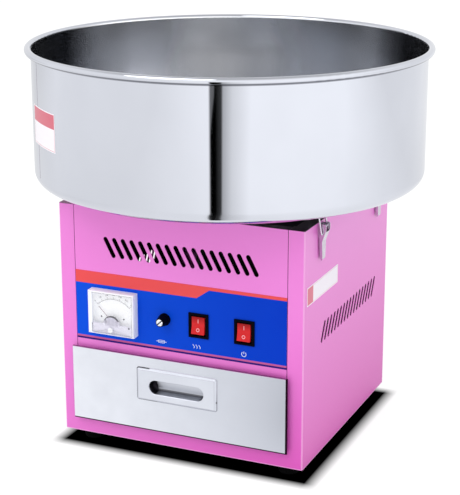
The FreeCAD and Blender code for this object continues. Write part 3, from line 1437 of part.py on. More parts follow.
def terminal_block():
    low = base_top
    x0 = gland_place - block_length
    y0 = half_depth - 60
    block = box("block_blank", (x0, x0 + block_length), (y0, y0 + block_width), (low, low + block_height))
    holes = [rod(f"block_hole_{number}", 2.6, 8, (x0 + block_length / 6 * (2 * number + 1),
                                                  y0 + block_width / 2, low + block_height - 7))
             for number in range(3)]
    return node("terminal_block", cut("terminal_block", block, holes))


# ---------------------------------------------------------------- build and write

def build_all():
    casing_shell()
    front_panel()
    control_overlay()
    back_panel()
    back_panel_screws()
    top_deck()
    base_pan()
    rubber_feet()
    foot_screws()
    meter_case()
    meter_dial()
    meter_cover()
    meter_mask()
    meter_needle()
    meter_zero_screw()
    fuse_holder()
    fuse_cap()
    fuse_link()
    switch_housings()
    rocker("heat_rocker", heat_place)
    rocker("power_rocker", power_place)
    drawer_front()
    drawer_box()
    drawer_handle()
    drawer_runners()
    bowl()
    bowl_seat_ring()
    bowl_gasket()
    spindle_guard()
    bowl_catches()
    latch_bases()
    latch_pins()
    for name, (side, end) in LATCHES.items():
        latch_lever(name, side, end)
        latch_bail(name, side, end)
    motor_can()
    motor_end_bells()
    motor_bearings()
    motor_mounts()
    motor_shaft()
    motor_rotor()
    cooling_fan()
    slip_ring_hub()
    slip_rings()
    brush_board()
    brush_holders()
    carbon_brushes()
    head_base()
    head_band()
    head_lid()
    head_posts()
    heating_element()
    head_nut()
    cable_gland()
    terminal_block()


def check(thing):
    """Stops the build if an object failed without saying so."""
    bad = [word for word in thing.State if word in ("Invalid", "Error")]
    if bad:
        raise RuntimeError(f"{thing.Name} ({thing.Label}) is {bad}")


build_all()
doc.recompute()
for thing in doc.Objects:
    check(thing)
for name, thing in nodes.items():
    if thing.Shape.isNull() or not thing.Shape.isValid():
        raise RuntimeError(f"{name} has no valid shape")
os.makedirs("parts", exist_ok=True)
for name, thing in nodes.items():
    thing.Shape.exportStep(f"parts/{name}.step")
    print(f"{name}: {len(thing.Shape.Solids)} solid(s), {thing.Shape.Volume / 1000:.1f} cm3")
print(len(nodes), "nodes")
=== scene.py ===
import json
import math

import bmesh
import bpy
from mathutils import Matrix, Vector


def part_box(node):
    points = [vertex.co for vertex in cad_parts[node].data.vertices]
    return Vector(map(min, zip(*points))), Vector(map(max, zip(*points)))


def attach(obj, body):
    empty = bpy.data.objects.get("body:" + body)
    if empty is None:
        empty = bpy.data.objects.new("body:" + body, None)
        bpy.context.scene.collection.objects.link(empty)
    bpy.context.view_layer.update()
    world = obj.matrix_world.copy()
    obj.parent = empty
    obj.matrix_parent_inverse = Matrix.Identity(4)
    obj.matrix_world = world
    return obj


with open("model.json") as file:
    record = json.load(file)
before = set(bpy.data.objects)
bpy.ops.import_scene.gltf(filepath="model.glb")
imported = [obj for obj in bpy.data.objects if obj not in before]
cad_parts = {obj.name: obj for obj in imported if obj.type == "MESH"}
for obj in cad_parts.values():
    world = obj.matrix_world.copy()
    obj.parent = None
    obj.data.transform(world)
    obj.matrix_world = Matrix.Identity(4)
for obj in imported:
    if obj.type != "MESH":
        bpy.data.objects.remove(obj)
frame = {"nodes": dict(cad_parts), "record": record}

scene = bpy.context.scene
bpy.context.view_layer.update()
mm = 0.001


# ------------------------ casing sheet metal
# The casing is a folded wrapper of 1 mm steel with a control panel and a back panel let into it.
# All three are powder-coated a glossy pink, which leaves a slight orange peel.

class Signal:
    """One output of a node; arithmetic on it adds the Math nodes."""

    def __init__(self, graph, socket):
        self.graph = graph
        self.socket = socket

    def __add__(self, other):
        return self.graph.maths("ADD", self, other)

    def __sub__(self, other):
        return self.graph.maths("SUBTRACT", self, other)

    def __rsub__(self, other):
        return self.graph.maths("SUBTRACT", other, self)

    def __mul__(self, other):
        return self.graph.maths("MULTIPLY", self, other)

    def __truediv__(self, other):
        return self.graph.maths("DIVIDE", self, other)

    def __pow__(self, other):
        return self.graph.maths("POWER", self, other)

    def __abs__(self):
        return self.graph.maths("ABSOLUTE", self)

    __radd__ = __add__
    __rmul__ = __mul__


class Graph:
    """A node tree that grows one node at a time."""

    def __init__(self, tree):
        self.tree = tree

    def node(self, kind, settings=None, inputs=None, output=0):
        """Adds a node: its settings first, then the values or links of its sockets."""
        made = self.tree.nodes.new(kind)
        for name, value in (settings or {}).items():
            setattr(made, name, value)
        for name, value in (inputs or {}).items():
            if isinstance(value, Signal):
                self.tree.links.new(value.socket, made.inputs[name])
            else:
                made.inputs[name].default_value = value
        return Signal(self, made.outputs[output]) if made.outputs else made

    def maths(self, operation, *terms):
        return self.node("ShaderNodeMath", {"operation": operation}, dict(enumerate(terms)))

    def rise(self, signal, start, end):
        """0 below the start, 1 above the end."""
        return self.node("ShaderNodeMapRange", {}, {"Value": signal, "From Min": start, "From Max": end})

    def band(self, signal, low, high, soft):
        return self.rise(signal, low - soft, low) * (1 - self.rise(signal, high, high + soft))

    def blend(self, factor, first, second):
        """Goes from the first colour to the second one."""
        return self.node("ShaderNodeMix", {"data_type": "RGBA"}, {0: factor, 6: first, 7: second},
                         output=2)

    def layers(self, colour, *upper):
        """Lays further colours over the first one, each where its mask is 1."""
        for mask, more in upper:
            colour = self.blend(mask, colour, more)
        return colour

    def split(self, vector):
        parts = self.node("ShaderNodeSeparateXYZ", {}, {0: vector}).socket.node.outputs
        return [Signal(self, part) for part in parts]

    def join(self, x, y, z):
        return self.node("ShaderNodeCombineXYZ", {}, {0: x, 1: y, 2: z})


class Finish(Graph):
    """A material. Its patterns read places on the piece itself, in metres."""

    def __init__(self, name):
        self.material = bpy.data.materials.new(name)
        self.material.use_nodes = True
        super().__init__(self.material.node_tree)
        self.tree.nodes.clear()
        self.place = self.node("ShaderNodeTexCoord", output="Object")

    def around(self):
        """Distance from the machine's upright axis, angle about it, and height."""
        across, along, up = self.split(self.place)
        return (across * across + along * along) ** 0.5, self.maths("ARCTAN2", along, across), up

    def grain(self, size, detail=2.0, at=None):
        """Random drift between 0 and 1 whose lumps have about this size."""
        return self.node("ShaderNodeTexNoise", {}, {"Vector": at or self.place, "Scale": 1 / size,
                                                    "Detail": detail})

    def stretched(self, x, y, z):
        """Places scaled along each axis; a grain then runs along the axis with the smallest number."""
        return self.node("ShaderNodeVectorMath", {"operation": "MULTIPLY"}, {0: self.place, 1: (x, y, z)})

    def relief(self, height, depth, over=None):
        """Raised and sunk spots, on the piece's own normal or over another one."""
        under = {"Normal": over} if over else {}
        return self.node("ShaderNodeBump", {}, {"Height": height, "Distance": depth, "Strength": 1.0,
                                                **under})

    def close(self, inputs):
        """Feeds the surface."""
        surface = self.node("ShaderNodeBsdfPrincipled", {}, inputs)
        self.node("ShaderNodeOutputMaterial", {}, {"Surface": surface})

    def mottle(self, size, detail, first, second, roughness, spread, more=None):
        """Closes a finish of two near tones; it is rougher where the second one shows."""
        drift = self.grain(size, detail)
        self.close({"Base Color": self.blend(drift, first, second), "Roughness": roughness + drift * spread,
                    **(more or {})})

    def coat(self, *names):
        """Gives the finish to pieces of the frame."""
        for name in names:
            frame["nodes"][name].material_slots[0].material = self.material


def srgb(red, green, blue):
    """A colour given as it is seen on a screen, 0 to 255."""
    return tuple((part / 255 / 12.92 if part <= 10 else ((part / 255 + 0.055) / 1.055) ** 2.4)
                 for part in (red, green, blue)) + (1.0,)


paint = Finish("pink powder coat")
across, along, up = paint.split(paint.place)
casing_low, casing_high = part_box("casing_shell")
skin_depth, skin_soft = 0.85 * mm, 0.2 * mm
skin_x, skin_y = casing_high.x - skin_depth, casing_high.y - skin_depth
outer_faces = paint.maths("MAXIMUM", paint.rise(abs(across), skin_x, skin_x + skin_soft),
                          paint.rise(abs(along), skin_y, skin_y + skin_soft))
top_face = paint.rise(up, casing_high.z - 0.5 * mm, casing_high.z - 0.3 * mm)
corner_sum = casing_high.x + casing_high.y
# Painted highlight: a paler pink along the rounded corner bends and along the foot edge.
bend = paint.rise(abs(across) + abs(along), corner_sum - 2 * mm, corner_sum - 1.4 * mm)
foot_edge = 1 - paint.rise(up, casing_low.z + 0.8 * mm, casing_low.z + 1.3 * mm)
edge_highlight = paint.maths("MAXIMUM", bend, foot_edge)
drift = paint.grain(120 * mm, 3)
peel = paint.grain(0.9 * mm, 1)
# Painted shade: a deeper pink toward the foot, growing toward the right, and low on the right side; the coat
# is thinner there.
rightward_shade = paint.rise(across, casing_low.x, casing_high.x) * 0.7 + 0.3
foot_shade_share = (1 - paint.rise(up, 16 * mm, 220 * mm)) * rightward_shade
right_side = paint.rise(across, casing_high.x - 1 * mm, casing_high.x)
side_shade_share = right_side * (1 - paint.rise(up, 10 * mm, 290 * mm)) * 1.1
foot_shade = paint.maths("MAXIMUM", foot_shade_share, side_shade_share)
pink = paint.layers(srgb(238, 126, 214), (drift, srgb(245, 138, 224)), (foot_shade, srgb(222, 86, 188)),
                    (edge_highlight * 0.5, srgb(250, 196, 236)))
# Painted shade: the inside faces and the top flange under the bowl are a near-black maroon, and the top
# flange's left end is a dull dark pink.
left_flange = top_face * (1 - paint.rise(across, -160 * mm, -20 * mm))
unlit = paint.blend(left_flange, srgb(26, 4, 20), srgb(172, 88, 146))
painted_shade_faces = 1 - outer_faces * (1 - top_face)
paint.close({"Base Color": paint.blend(painted_shade_faces, pink, unlit), "Roughness": 0.30 + drift * 0.06,
             "Coat Weight": (0.4 - foot_shade * 0.35) * (1 - painted_shade_faces), "Coat Roughness": 0.12,
             "Specular IOR Level": 0.3, "Normal": paint.relief(peel, 0.012 * mm)})
paint.coat("casing_shell", "front_panel", "back_panel")


# ------------------------ deck, base pan and drawer runners
# The base pan and the drawer's runners are hot-dip galvanised, which leaves flat crystals of grey.
# The motor's can is primed black, and the deck, which carries the motor and the bowl, is painted the same
# black as painted shade under the bowl.

zinc_sheet = Finish("galvanised sheet")
crystal = zinc_sheet.node("ShaderNodeTexVoronoi", {}, {"Vector": zinc_sheet.place, "Scale": 1 / (9 * mm)},
                          output="Color")
shade = zinc_sheet.node("ShaderNodeSeparateColor", {}, {0: crystal})
zinc_sheet.close({"Base Color": zinc_sheet.blend(shade, srgb(150, 154, 160), srgb(186, 190, 196)),
                  "Metallic": 0.9, "Roughness": 0.34 + shade * 0.16})
zinc_sheet.coat("base_pan", "drawer_runners", "motor_rotor")

primer_and_shade = Finish("black primer")
primer_and_shade.mottle(30 * mm, 3, srgb(12, 12, 14), srgb(26, 26, 28), 0.6, 0.1, {"Specular IOR Level": 0.2})
primer_and_shade.coat("top_deck", "motor_can")


# ------------------------ screws, latches and other plated parts
# Small steel parts are bright zinc-plated: pressed levers and catches, bent wire bails, screws and pins.
# The plating is smooth, slightly blue and clouded by handling.

plating = Finish("bright zinc plating")
cloud = plating.grain(6 * mm, 4)
scuff = plating.grain(0.7 * mm, 2)
plating.close({"Base Color": plating.blend(cloud, srgb(186, 178, 188), srgb(226, 220, 230)), "Metallic": 1.0,
               "Roughness": 0.16 + cloud * 0.10 + scuff * 0.05, "Normal": plating.relief(scuff, 0.004 * mm)})
plating.coat("back_panel_screws", "foot_screws", "bowl_seat_ring", "bowl_catches", "latch_bases",
             "latch_pins", "motor_bearings", "motor_shaft", "head_posts", "head_nut",
             *[f"latch_{part}_{end}_{side}" for part in ("lever", "bail")
               for end in ("front", "rear") for side in ("left", "right")])


# ------------------------ feet, rubber mounts and gasket
# The feet, the motor's mounts and the ring under the bowl are moulded black rubber.
# It is matt, with a fine pitted skin and a little grey bloom.

rubber = Finish("black rubber")
rubber.mottle(14 * mm, 3, srgb(6, 6, 7), srgb(14, 14, 15), 0.72, 0.15, {
    "Specular IOR Level": 0.1, "Normal": rubber.relief(rubber.grain(0.5 * mm, 2), 0.03 * mm)})
rubber.coat("rubber_feet", "motor_mounts", "bowl_gasket")


# ------------------------ control panel film
# A printed polyester film covers the lower part of the control panel: a blue field under a red band.
# The band stops at a slope and goes on as a thin line; a dark and a light line close the foot.

film_low, film_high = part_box("control_overlay")
band_foot = film_high.z - 16 * mm
line_foot = film_high.z - 4 * mm
slope_start, slope_run = 25 * mm, 17 * mm
field_foot = film_low.z + 5 * mm
dark_line_top = film_low.z + 2.5 * mm
print_edge = 0.25 * mm

film = Finish("printed film")
across, _, up = film.split(film.place)
slope = (up - band_foot) / (line_foot - band_foot) * slope_run + slope_start
beside = film.rise(slope - across, 0, print_edge)
red_band = film.rise(up, band_foot - print_edge, band_foot) * beside
red_line = film.rise(up, line_foot - print_edge, line_foot)
red = film.maths("MAXIMUM", red_band, red_line)
foot_line = 1 - film.rise(up, field_foot - print_edge, field_foot)
dark_line = 1 - film.rise(up, dark_line_top - print_edge, dark_line_top)
fade = film.grain(60 * mm, 2)
# Painted reflection: the blue is paler on the left and deeper toward the right.
rightward_shade = film.rise(across, -160 * mm, 150 * mm)
ink = film.layers(srgb(14, 84, 224), (rightward_shade, srgb(2, 52, 188)), (fade * 0.3, srgb(8, 78, 222)),
                  (red, srgb(238, 86, 88)), (foot_line, srgb(196, 92, 150)),
                  (dark_line, srgb(46, 24, 116)))
film.close({"Base Color": ink, "Roughness": 0.26 + fade * 0.05, "Specular IOR Level": 0.05,
            "Normal": film.relief(film.grain(1.2 * mm, 1), 0.006 * mm)})
film.coat("control_overlay")


def put(name, data):
    """Adds an object to the scene, at the origin."""
    piece = bpy.data.objects.new(name, data)
    scene.collection.objects.link(piece)
    return piece


def as_mesh(piece):
    """The mesh of a piece after its modifiers."""
    return bpy.data.meshes.new_from_object(piece.evaluated_get(bpy.context.evaluated_depsgraph_get()))


class Shape(Graph):
    """A geometry tree with named inputs; it is run once for each piece made with it."""

    def __init__(self, name, inputs):
        super().__init__(bpy.data.node_groups.new(name, "GeometryNodeTree"))
        face = self.tree.interface
        face.new_socket("Base", in_out="INPUT", socket_type="NodeSocketGeometry")
        face.new_socket("Result", in_out="OUTPUT", socket_type="NodeSocketGeometry")
        self.keys = {label: face.new_socket(label, in_out="INPUT", socket_type=kind).identifier
                     for label, kind in {**inputs, "Finish": "NodeSocketMaterial"}.items()}
        self.entry = self.tree.nodes.new("NodeGroupInput").outputs

    def given(self, label):
        return Signal(self, self.entry[label])

    def end(self, geometry):
        """Closes the tree: real geometry, with its material."""
        real = self.node("GeometryNodeRealizeInstances", {}, {"Geometry": geometry})
        dressed = self.node("GeometryNodeSetMaterial", {}, {"Geometry": real,
                                                            "Material": self.given("Finish")})
        self.node("NodeGroupOutput", {}, {"Result": dressed})

    def grow(self, name, points, edges, finish, values):
        """Runs the tree on points and edges, and keeps the result as a plain mesh."""
        base = bpy.data.meshes.new(name)
        base.from_pydata(points, edges, [])
        piece = put(name, base)
        modifier = piece.modifiers.new("Shape", "NODES")
        modifier.node_group = self.tree
        modifier[self.keys["Finish"]] = finish.material
        for label, value in values.items():
            modifier[self.keys[label]] = value
        grown = as_mesh(piece)
        piece.modifiers.clear()
        piece.data = grown
        return piece


def seat(piece, body):
    """Says which body a finished piece moves with."""
    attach(piece, body)
    return piece


# ------------------------ printed signs
# The film has a sign under the fuse and under each switch: a fuse, three waves of heat, and power.
# They are screen-printed in white ink, which stands up from the film as thin lines.

ink_line = Shape("ink line", {"Half Width": "NodeSocketFloat", "Flatness": "NodeSocketFloat",
                              "Level": "NodeSocketVector"})
stroke = ink_line.node("GeometryNodeMeshToCurve", {}, {"Mesh": ink_line.given("Base")})
pen = ink_line.node("GeometryNodeCurvePrimitiveCircle", {}, {
    "Resolution": 8, "Radius": ink_line.given("Half Width")})
swept = ink_line.node("GeometryNodeCurveToMesh", {}, {
    "Curve": stroke, "Profile Curve": pen, "Fill Caps": True})
ink_line.end(ink_line.node("GeometryNodeTransform", {}, {
    "Geometry": swept, "Scale": ink_line.join(1, ink_line.given("Flatness"), 1),
    "Translation": ink_line.given("Level")}))

white_ink = Finish("white ink")
white_ink.mottle(1.5 * mm, 2, srgb(214, 224, 246), srgb(236, 240, 250), 0.42, 0.1)


def arc(radius, start, end, steps, middle=(0, 0)):
    """Places on an arc, in degrees from the right."""
    turns = [math.radians(start + (end - start) * step / steps) for step in range(steps + 1)]
    return [(middle[0] + radius * math.cos(turn), middle[1] + radius * math.sin(turn)) for turn in turns]


def draw(name, lines, at, half_width, finish):
    """Draws lines as one print. Each has (across, up) places in millimetres and may be closed."""
    points, edges = [], []
    for places, closed in lines:
        first, last = len(points), len(points) + len(places) - 1
        points += [(x * mm, 0, z * mm) for x, z in places]
        edges += [(number, number + 1) for number in range(first, last)] + [(last, first)] * closed
    return ink_line.grow(name, points, edges, finish,
                         {"Half Width": half_width * mm, "Flatness": 0.25, "Level": at})


sign_half_width = 0.42
fuse_sign = [([(-4, -1.7), (4, -1.7), (4, 1.7), (-4, 1.7)], True), ([(-7, 0), (7, 0)], False)]
wave = [(0.9 * math.sin(step / 2), step * 0.5 - 2.5) for step in range(11)]
heat_sign = [([(x + middle, z) for x, z in wave], False) for middle in (-4, 0, 4)]
power_sign = [(arc(3, 125, 415, 20), False), ([(0, 0.5), (0, 3.6)], False)]
for name, lines, x, z in (("fuse_sign", fuse_sign, -24, 157), ("heat_sign", heat_sign, 24.5, 157.5),
                          ("power_sign", power_sign, 88, 157)):
    sign = draw(name, lines, (x * mm, film_low.y, z * mm), sign_half_width, white_ink)
    seat(sign, "casing")


# ------------------------ voltmeter
# A panel meter: a clear moulded cover over a white dial with a printed scale, and a needle.
# A white moulding under the cover hides the coil; it arches over the hub, with fine ribs below the arch.

joints = {joint["name"]: joint for joint in frame["record"]["behaviour"]["joints"]}
pivot = Vector(joints["needle_swing"]["pos_m"])

black_plastic = Finish("black moulding")
black_plastic.mottle(20 * mm, 2, srgb(3, 1, 8), srgb(9, 7, 15), 0.34, 0.1, {
    "Specular IOR Level": 0.03, "Normal": black_plastic.relief(black_plastic.grain(0.35 * mm, 1), 0.01 * mm)})
black_plastic.coat("fuse_holder", "fuse_cap", "switch_housings", "cooling_fan", "cable_gland")

# Painted light: the dial card glows faintly, though nothing lights it from behind.
card = Finish("white dial card")
tooth = card.grain(0.6 * mm, 2)
card.close({"Base Color": card.blend(tooth, srgb(250, 251, 252), srgb(254, 254, 254)), "Roughness": 0.55,
            "Emission Color": srgb(255, 255, 255), "Emission Strength": 0.06,
            "Normal": card.relief(tooth, 0.004 * mm)})
card.coat("meter_dial")

moulding = Finish("white moulding")
across, _, up = moulding.split(moulding.place)
arch_radius, arch_drop, arch_line = 10.9 * mm, 1.6 * mm, 0.4 * mm
from_pivot = ((across - pivot.x) ** 2 + (up - pivot.z) ** 2) ** 0.5
below_arch = ((across - pivot.x) ** 2 + (up - pivot.z + arch_drop) ** 2) ** 0.5
hub = moulding.rise(below_arch, arch_radius, arch_radius + arch_line)
rib_step = 1.9 * mm
rib_wave_and_shade = moulding.maths("SINE", across * (2 * math.pi / rib_step)) * 0.5 + 0.5
ribbed = ((1 - moulding.rise(from_pivot, 10.2 * mm, 10.8 * mm)) * moulding.rise(up, pivot.z - 4 * mm, pivot.z)
          * moulding.band(across, pivot.x - 8 * mm, pivot.x + 10 * mm, 0.4 * mm))
mottle = moulding.grain(8 * mm, 2)
arched = hub * moulding.rise(up, pivot.z + 4 * mm, pivot.z + 5 * mm)
# Painted shade: the grooves between the ribs are a darker lilac grey.
pale = moulding.layers(srgb(222, 219, 233), (mottle, srgb(236, 234, 245)),
                       (ribbed * rib_wave_and_shade, srgb(176, 172, 190)), (arched, srgb(84, 82, 90)))
moulding.close({"Base Color": pale, "Roughness": 0.32 + mottle * 0.1, "Coat Weight": 0.2,
                "Normal": moulding.relief(ribbed * rib_wave_and_shade, 0.2 * mm)})
moulding.coat("meter_mask")

bright_plastic = Finish("bright white plastic")
bright_plastic.mottle(3 * mm, 2, srgb(240, 241, 244), srgb(250, 250, 251), 0.25, 0.06, {"Coat Weight": 0.3})
bright_plastic.coat("meter_case", "meter_zero_screw", "terminal_block")

needle_paint = Finish("needle paint")
needle_paint.mottle(2 * mm, 2, srgb(150, 132, 140), srgb(176, 158, 164), 0.5, 0.1)
needle_paint.coat("meter_needle")

clear = Finish("clear moulding")
across, _, up = clear.split(clear.place)
cover_low, cover_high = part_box("meter_cover")
cover_middle = (cover_low + cover_high) / 2
cover_wall = 1.7 * mm
edge_soft = 0.3 * mm
inner_half = (cover_high - cover_low) / 2 - Vector((cover_wall, 0, cover_wall))
outside = clear.maths("MAXIMUM", abs(across - cover_middle.x) - inner_half.x,
                      abs(up - cover_middle.z) - inner_half.z)
# Painted light: the cover's rim glows faintly white, and on the left it is widened over the shaded gap beside
# the dial.
left_glow_edge = cover_low.x + 5.6 * mm
rim = clear.maths("MAXIMUM", clear.rise(outside, 0, edge_soft),
                  1 - clear.rise(across, left_glow_edge, left_glow_edge + edge_soft))
# Painted shadow: a grey line along the top and right inner edges, where the cover's edge shades the dial.
edge_shadow_line = (clear.band(clear.maths("MAXIMUM", across - cover_middle.x - inner_half.x,
                                      up - cover_middle.z - inner_half.z), -0.7 * mm, 0, edge_soft)
               * (1 - rim))
clear.close({"Base Color": clear.blend(edge_shadow_line, srgb(252, 253, 255), srgb(120, 118, 120)),
             "Emission Color": clear.blend(rim, srgb(0, 0, 0), srgb(236, 242, 255)),
             "Emission Strength": 0.12, "Roughness": 0.06 + clear.grain(9 * mm, 1) * 0.05,
             "Alpha": 0.02 + rim * 0.80 + edge_shadow_line * 0.3, "Specular IOR Level": 0.3})
clear.coat("meter_cover")

fan = Shape("fan of bars", {"Count": "NodeSocketInt", "Radius": "NodeSocketFloat",
                            "Start": "NodeSocketFloat", "Step": "NodeSocketFloat",
                            "Bar": "NodeSocketVector", "Middle": "NodeSocketVector"})
index = fan.node("GeometryNodeInputIndex")
turn = fan.given("Start") + fan.given("Step") * index
spot = fan.join(fan.maths("COSINE", turn) * fan.given("Radius"), 0,
                fan.maths("SINE", turn) * fan.given("Radius"))
spots = fan.node("GeometryNodeSetPosition", {}, {
    "Geometry": fan.node("GeometryNodeMeshLine", {}, {"Count": fan.given("Count")}), "Position": spot})
bars = fan.node("GeometryNodeInstanceOnPoints", {}, {
    "Points": spots, "Instance": fan.node("GeometryNodeMeshCube", {}, {"Size": fan.given("Bar")}),
    "Rotation": fan.node("FunctionNodeEulerToRotation", {}, {0: fan.join(0, 0 - turn, 0)})})
fan.end(fan.node("GeometryNodeTransform", {}, {"Geometry": bars, "Translation": fan.given("Middle")}))

scale_ink = Finish("scale ink")
spread = scale_ink.grain(1 * mm, 2)
scale_ink.close({"Base Color": scale_ink.blend(spread, srgb(64, 66, 72), srgb(84, 86, 92)), "Roughness": 0.6})

scale_radius = 31
scale_start, scale_sweep = 45, 90
card_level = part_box("meter_dial")[0].y - 0.02 * mm
scale_middle = (pivot.x, card_level, pivot.z)
marks = []
for name, steps, length, width in (("scale_small_ticks", 30, 1.8, 0.22), ("scale_big_ticks", 6, 3.0, 0.4)):
    marks.append(fan.grow(name, [], [], scale_ink, {
        "Count": steps + 1, "Radius": (scale_radius + length / 2) * mm, "Start": math.radians(scale_start),
        "Step": math.radians(scale_sweep / steps), "Bar": (length * mm, 0.1 * mm, width * mm),
        "Middle": scale_middle}))
marks.append(draw("scale_arc", [(arc(scale_radius, scale_start, scale_start + scale_sweep, 40), False)],
                  scale_middle, 0.16, scale_ink))
marks.append(draw("dial_dots", [(arc(0.6, 0, 330, 11, (x, 6.4)), True) for x in (-17.6, 14.2)],
                  scale_middle, 0.5, scale_ink))
marks.append(draw("mask_corner_holes", [(arc(0.7, 0, 330, 11, (x, -2)), True) for x in (-27.5, 25)],
                  (pivot.x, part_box("meter_mask")[0].y, pivot.z), 0.5, scale_ink))
for piece in marks:
    seat(piece, "casing")


def lettering(name, text, height, finish, matrix):
    """Thin raised characters: drawn flat, made a mesh, then put in place."""
    words = bpy.data.curves.new(name, "FONT")
    words.body = text
    words.size = height
    words.extrude = 0.03 * mm
    words.align_x = "CENTER"
    words.align_y = "CENTER"
    words.resolution_u = 3
    sketch = put(name + "_sketch", words)
    flat = as_mesh(sketch)
    bpy.data.objects.remove(sketch)
    flat.transform(matrix)
    flat.materials.clear()
    flat.materials.append(finish.material)
    return put(name, flat)


upright = Matrix.Rotation(math.radians(90), 4, "X")
number_radius = (scale_radius + 5.6) * mm
number_step = 50
for step in range(7):
    turn = math.radians(scale_start + scale_sweep - step * scale_sweep / 6)
    at = Vector((pivot.x + number_radius * math.cos(turn), card_level,
                 pivot.z + number_radius * math.sin(turn)))
    lean = Matrix.Rotation(math.pi / 2 - turn, 4, "Y")
    number = lettering(f"scale_number_{step}", str(step * number_step), 3.0 * mm, scale_ink,
                       Matrix.Translation(at) @ lean @ upright)
    seat(number, "casing")


# ------------------------ fuse and rocker switches
# The fuse sits in a black screw cap with a plated slotted end and a ribbed edge.
# Each switch has a red rocker, marked with a line for on and a ring for off, in a black bezel.

cap_low, cap_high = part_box("fuse_cap")
cap_end = Vector(((cap_low.x + cap_high.x) / 2, cap_low.y, (cap_low.z + cap_high.z) / 2))
cap_radius = (cap_high.x - cap_low.x) / 2
grip_count, grip_length, grip_sink = 30, 3 * mm, 0.4 * mm
grips = fan.grow("fuse_cap_grips", [], [], black_plastic, {
    "Count": grip_count, "Radius": cap_radius - grip_sink, "Start": 0.0,
    "Step": math.radians(360 / grip_count), "Bar": (0.7 * mm, grip_length, 0.8 * mm),
    "Middle": (cap_end.x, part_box("fuse_holder")[0].y - grip_sink - grip_length / 2, cap_end.z)})
seat(grips, "fuse_cap")


def shaped(name, form, finish):
    """Makes a piece of a closed form, with its faces turned outwards."""
    mesh = bpy.data.meshes.new(name)
    bmesh.ops.recalc_face_normals(form, faces=form.faces)
    form.to_mesh(mesh)
    form.free()
    mesh.materials.append(finish.material)
    return put(name, mesh)


def turned(name, profile, middle, aim, finish, steps=32):
    """A solid of revolution from (radius, height) places in millimetres, aimed along a direction."""
    form = bmesh.new()
    rings = []
    for radius, height in profile:
        if radius == 0:
            rings.append([form.verts.new((0, 0, height * mm))])
        else:
            rings.append([form.verts.new((radius * mm * math.cos(2 * math.pi * step / steps),
                                          radius * mm * math.sin(2 * math.pi * step / steps), height * mm))
                          for step in range(steps)])
    for low, high in zip(rings, rings[1:]):
        for step in range(steps):
            after = (step + 1) % steps
            corners = [low[step % len(low)], low[after % len(low)], high[after % len(high)],
                       high[step % len(high)]]
            form.faces.new(dict.fromkeys(corners)).smooth = True
    piece = shaped(name, form, finish)
    aimed = Vector(aim).to_track_quat("Z", "Y").to_matrix().to_4x4()
    piece.data.transform(Matrix.Translation(middle) @ aimed)
    return piece


def cut(piece, tools):
    """Cuts boxes, each given by its size and matrix, out of a piece."""
    for number, (size, matrix) in enumerate(tools):
        block = bpy.data.meshes.new("cutter")
        form = bmesh.new()
        bmesh.ops.create_cube(form, size=1, matrix=matrix @ Matrix.Diagonal((*size, 1)))
        form.to_mesh(block)
        form.free()
        cutter = put("cutter", block)
        modifier = piece.modifiers.new(f"Cut {number}", "BOOLEAN")
        modifier.object = cutter
        modifier.operation = "DIFFERENCE"
        modifier.solver = "EXACT"
        result = as_mesh(piece)
        piece.modifiers.clear()
        piece.data = result
        bpy.data.objects.remove(cutter)
    return piece


slot_lean, slot_width, slot_depth, slot_length = math.radians(42), 1.5 * mm, 1.5 * mm, 9 * mm
nickel = Finish("nickel plating")
across, _, up = nickel.split(nickel.place)
off_slot = (across - cap_end.x) * -math.sin(slot_lean) + (up - cap_end.z) * math.cos(slot_lean)
sheen = nickel.grain(3 * mm, 2)
# Painted shade: the screwdriver slot is near black.
slot_shaded_nickel = nickel.blend(nickel.rise(abs(off_slot), slot_width / 2 - 0.1 * mm, slot_width / 2),
                      srgb(14, 14, 18), srgb(244, 244, 248))
nickel.close({"Base Color": slot_shaded_nickel, "Metallic": 0.9, "Roughness": 0.24 + sheen * 0.1})
insert = turned("fuse_cap_insert", [(0, -1.1), (3.6, -1.1), (3.6, 0.05), (4.4, 0.05), (4.2, 0.5), (0, 0.7)],
                cap_end, (0, -1, 0), nickel)
cut(insert, [((slot_length, slot_depth, slot_width),
              Matrix.Translation(cap_end) @ Matrix.Rotation(-slot_lean, 4, "Y"))])
seat(insert, "fuse_cap")

red_plastic = Finish("red moulding")
glow = red_plastic.grain(7 * mm, 2)
_, _, up = red_plastic.split(red_plastic.place)
rocker_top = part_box("heat_rocker")[1].z
shaded = red_plastic.rise(up, rocker_top - 9 * mm, rocker_top)
red = red_plastic.layers(srgb(206, 28, 32), (glow, srgb(222, 40, 44)), (shaded, srgb(150, 4, 8)))
red_plastic.close({"Base Color": red, "Roughness": 0.22 + glow * 0.06, "Specular IOR Level": 0.2})
red_plastic.coat("heat_rocker", "power_rocker")

mark_ink = Finish("pale red ink")
mark_ink.mottle(1 * mm, 2, srgb(252, 176, 182), srgb(254, 196, 200), 0.4, 0.1)

rocker_rest_turn = math.radians(-6)
rocker_front, rocker_end, rocker_dip = 7.5, 11.2, 1.2
on_mark = [([(0, -2.5), (0, 2.5)], False)]
off_mark = [(arc(1.9, 0, 345, 23), True)]


def rocker_plane(joint, upper):
    """The face of a rocker above or below its middle edge, in the rocker's own turned frame."""
    face = math.atan2(rocker_dip, rocker_end)
    lean = face if upper else -face
    middle = Vector((0, (rocker_dip / 2 - rocker_front) * mm, (0.5 if upper else -0.5) * rocker_end * mm))
    body_turn = Matrix.Translation(Vector(joint["pos_m"])) @ Matrix.Rotation(rocker_rest_turn, 4, "X")
    return body_turn @ Matrix.Translation(middle) @ Matrix.Rotation(lean, 4, "X")


for joint in (joints["heat_switch"], joints["power_switch"]):
    for word, lines, upper in (("on", on_mark, True), ("off", off_mark, False)):
        mark = draw(f"{joint['child']}_{word}_mark", lines, (0, 0, 0), 0.4, mark_ink)
        mark.data.transform(rocker_plane(joint, upper))
        seat(mark, joint["child"])


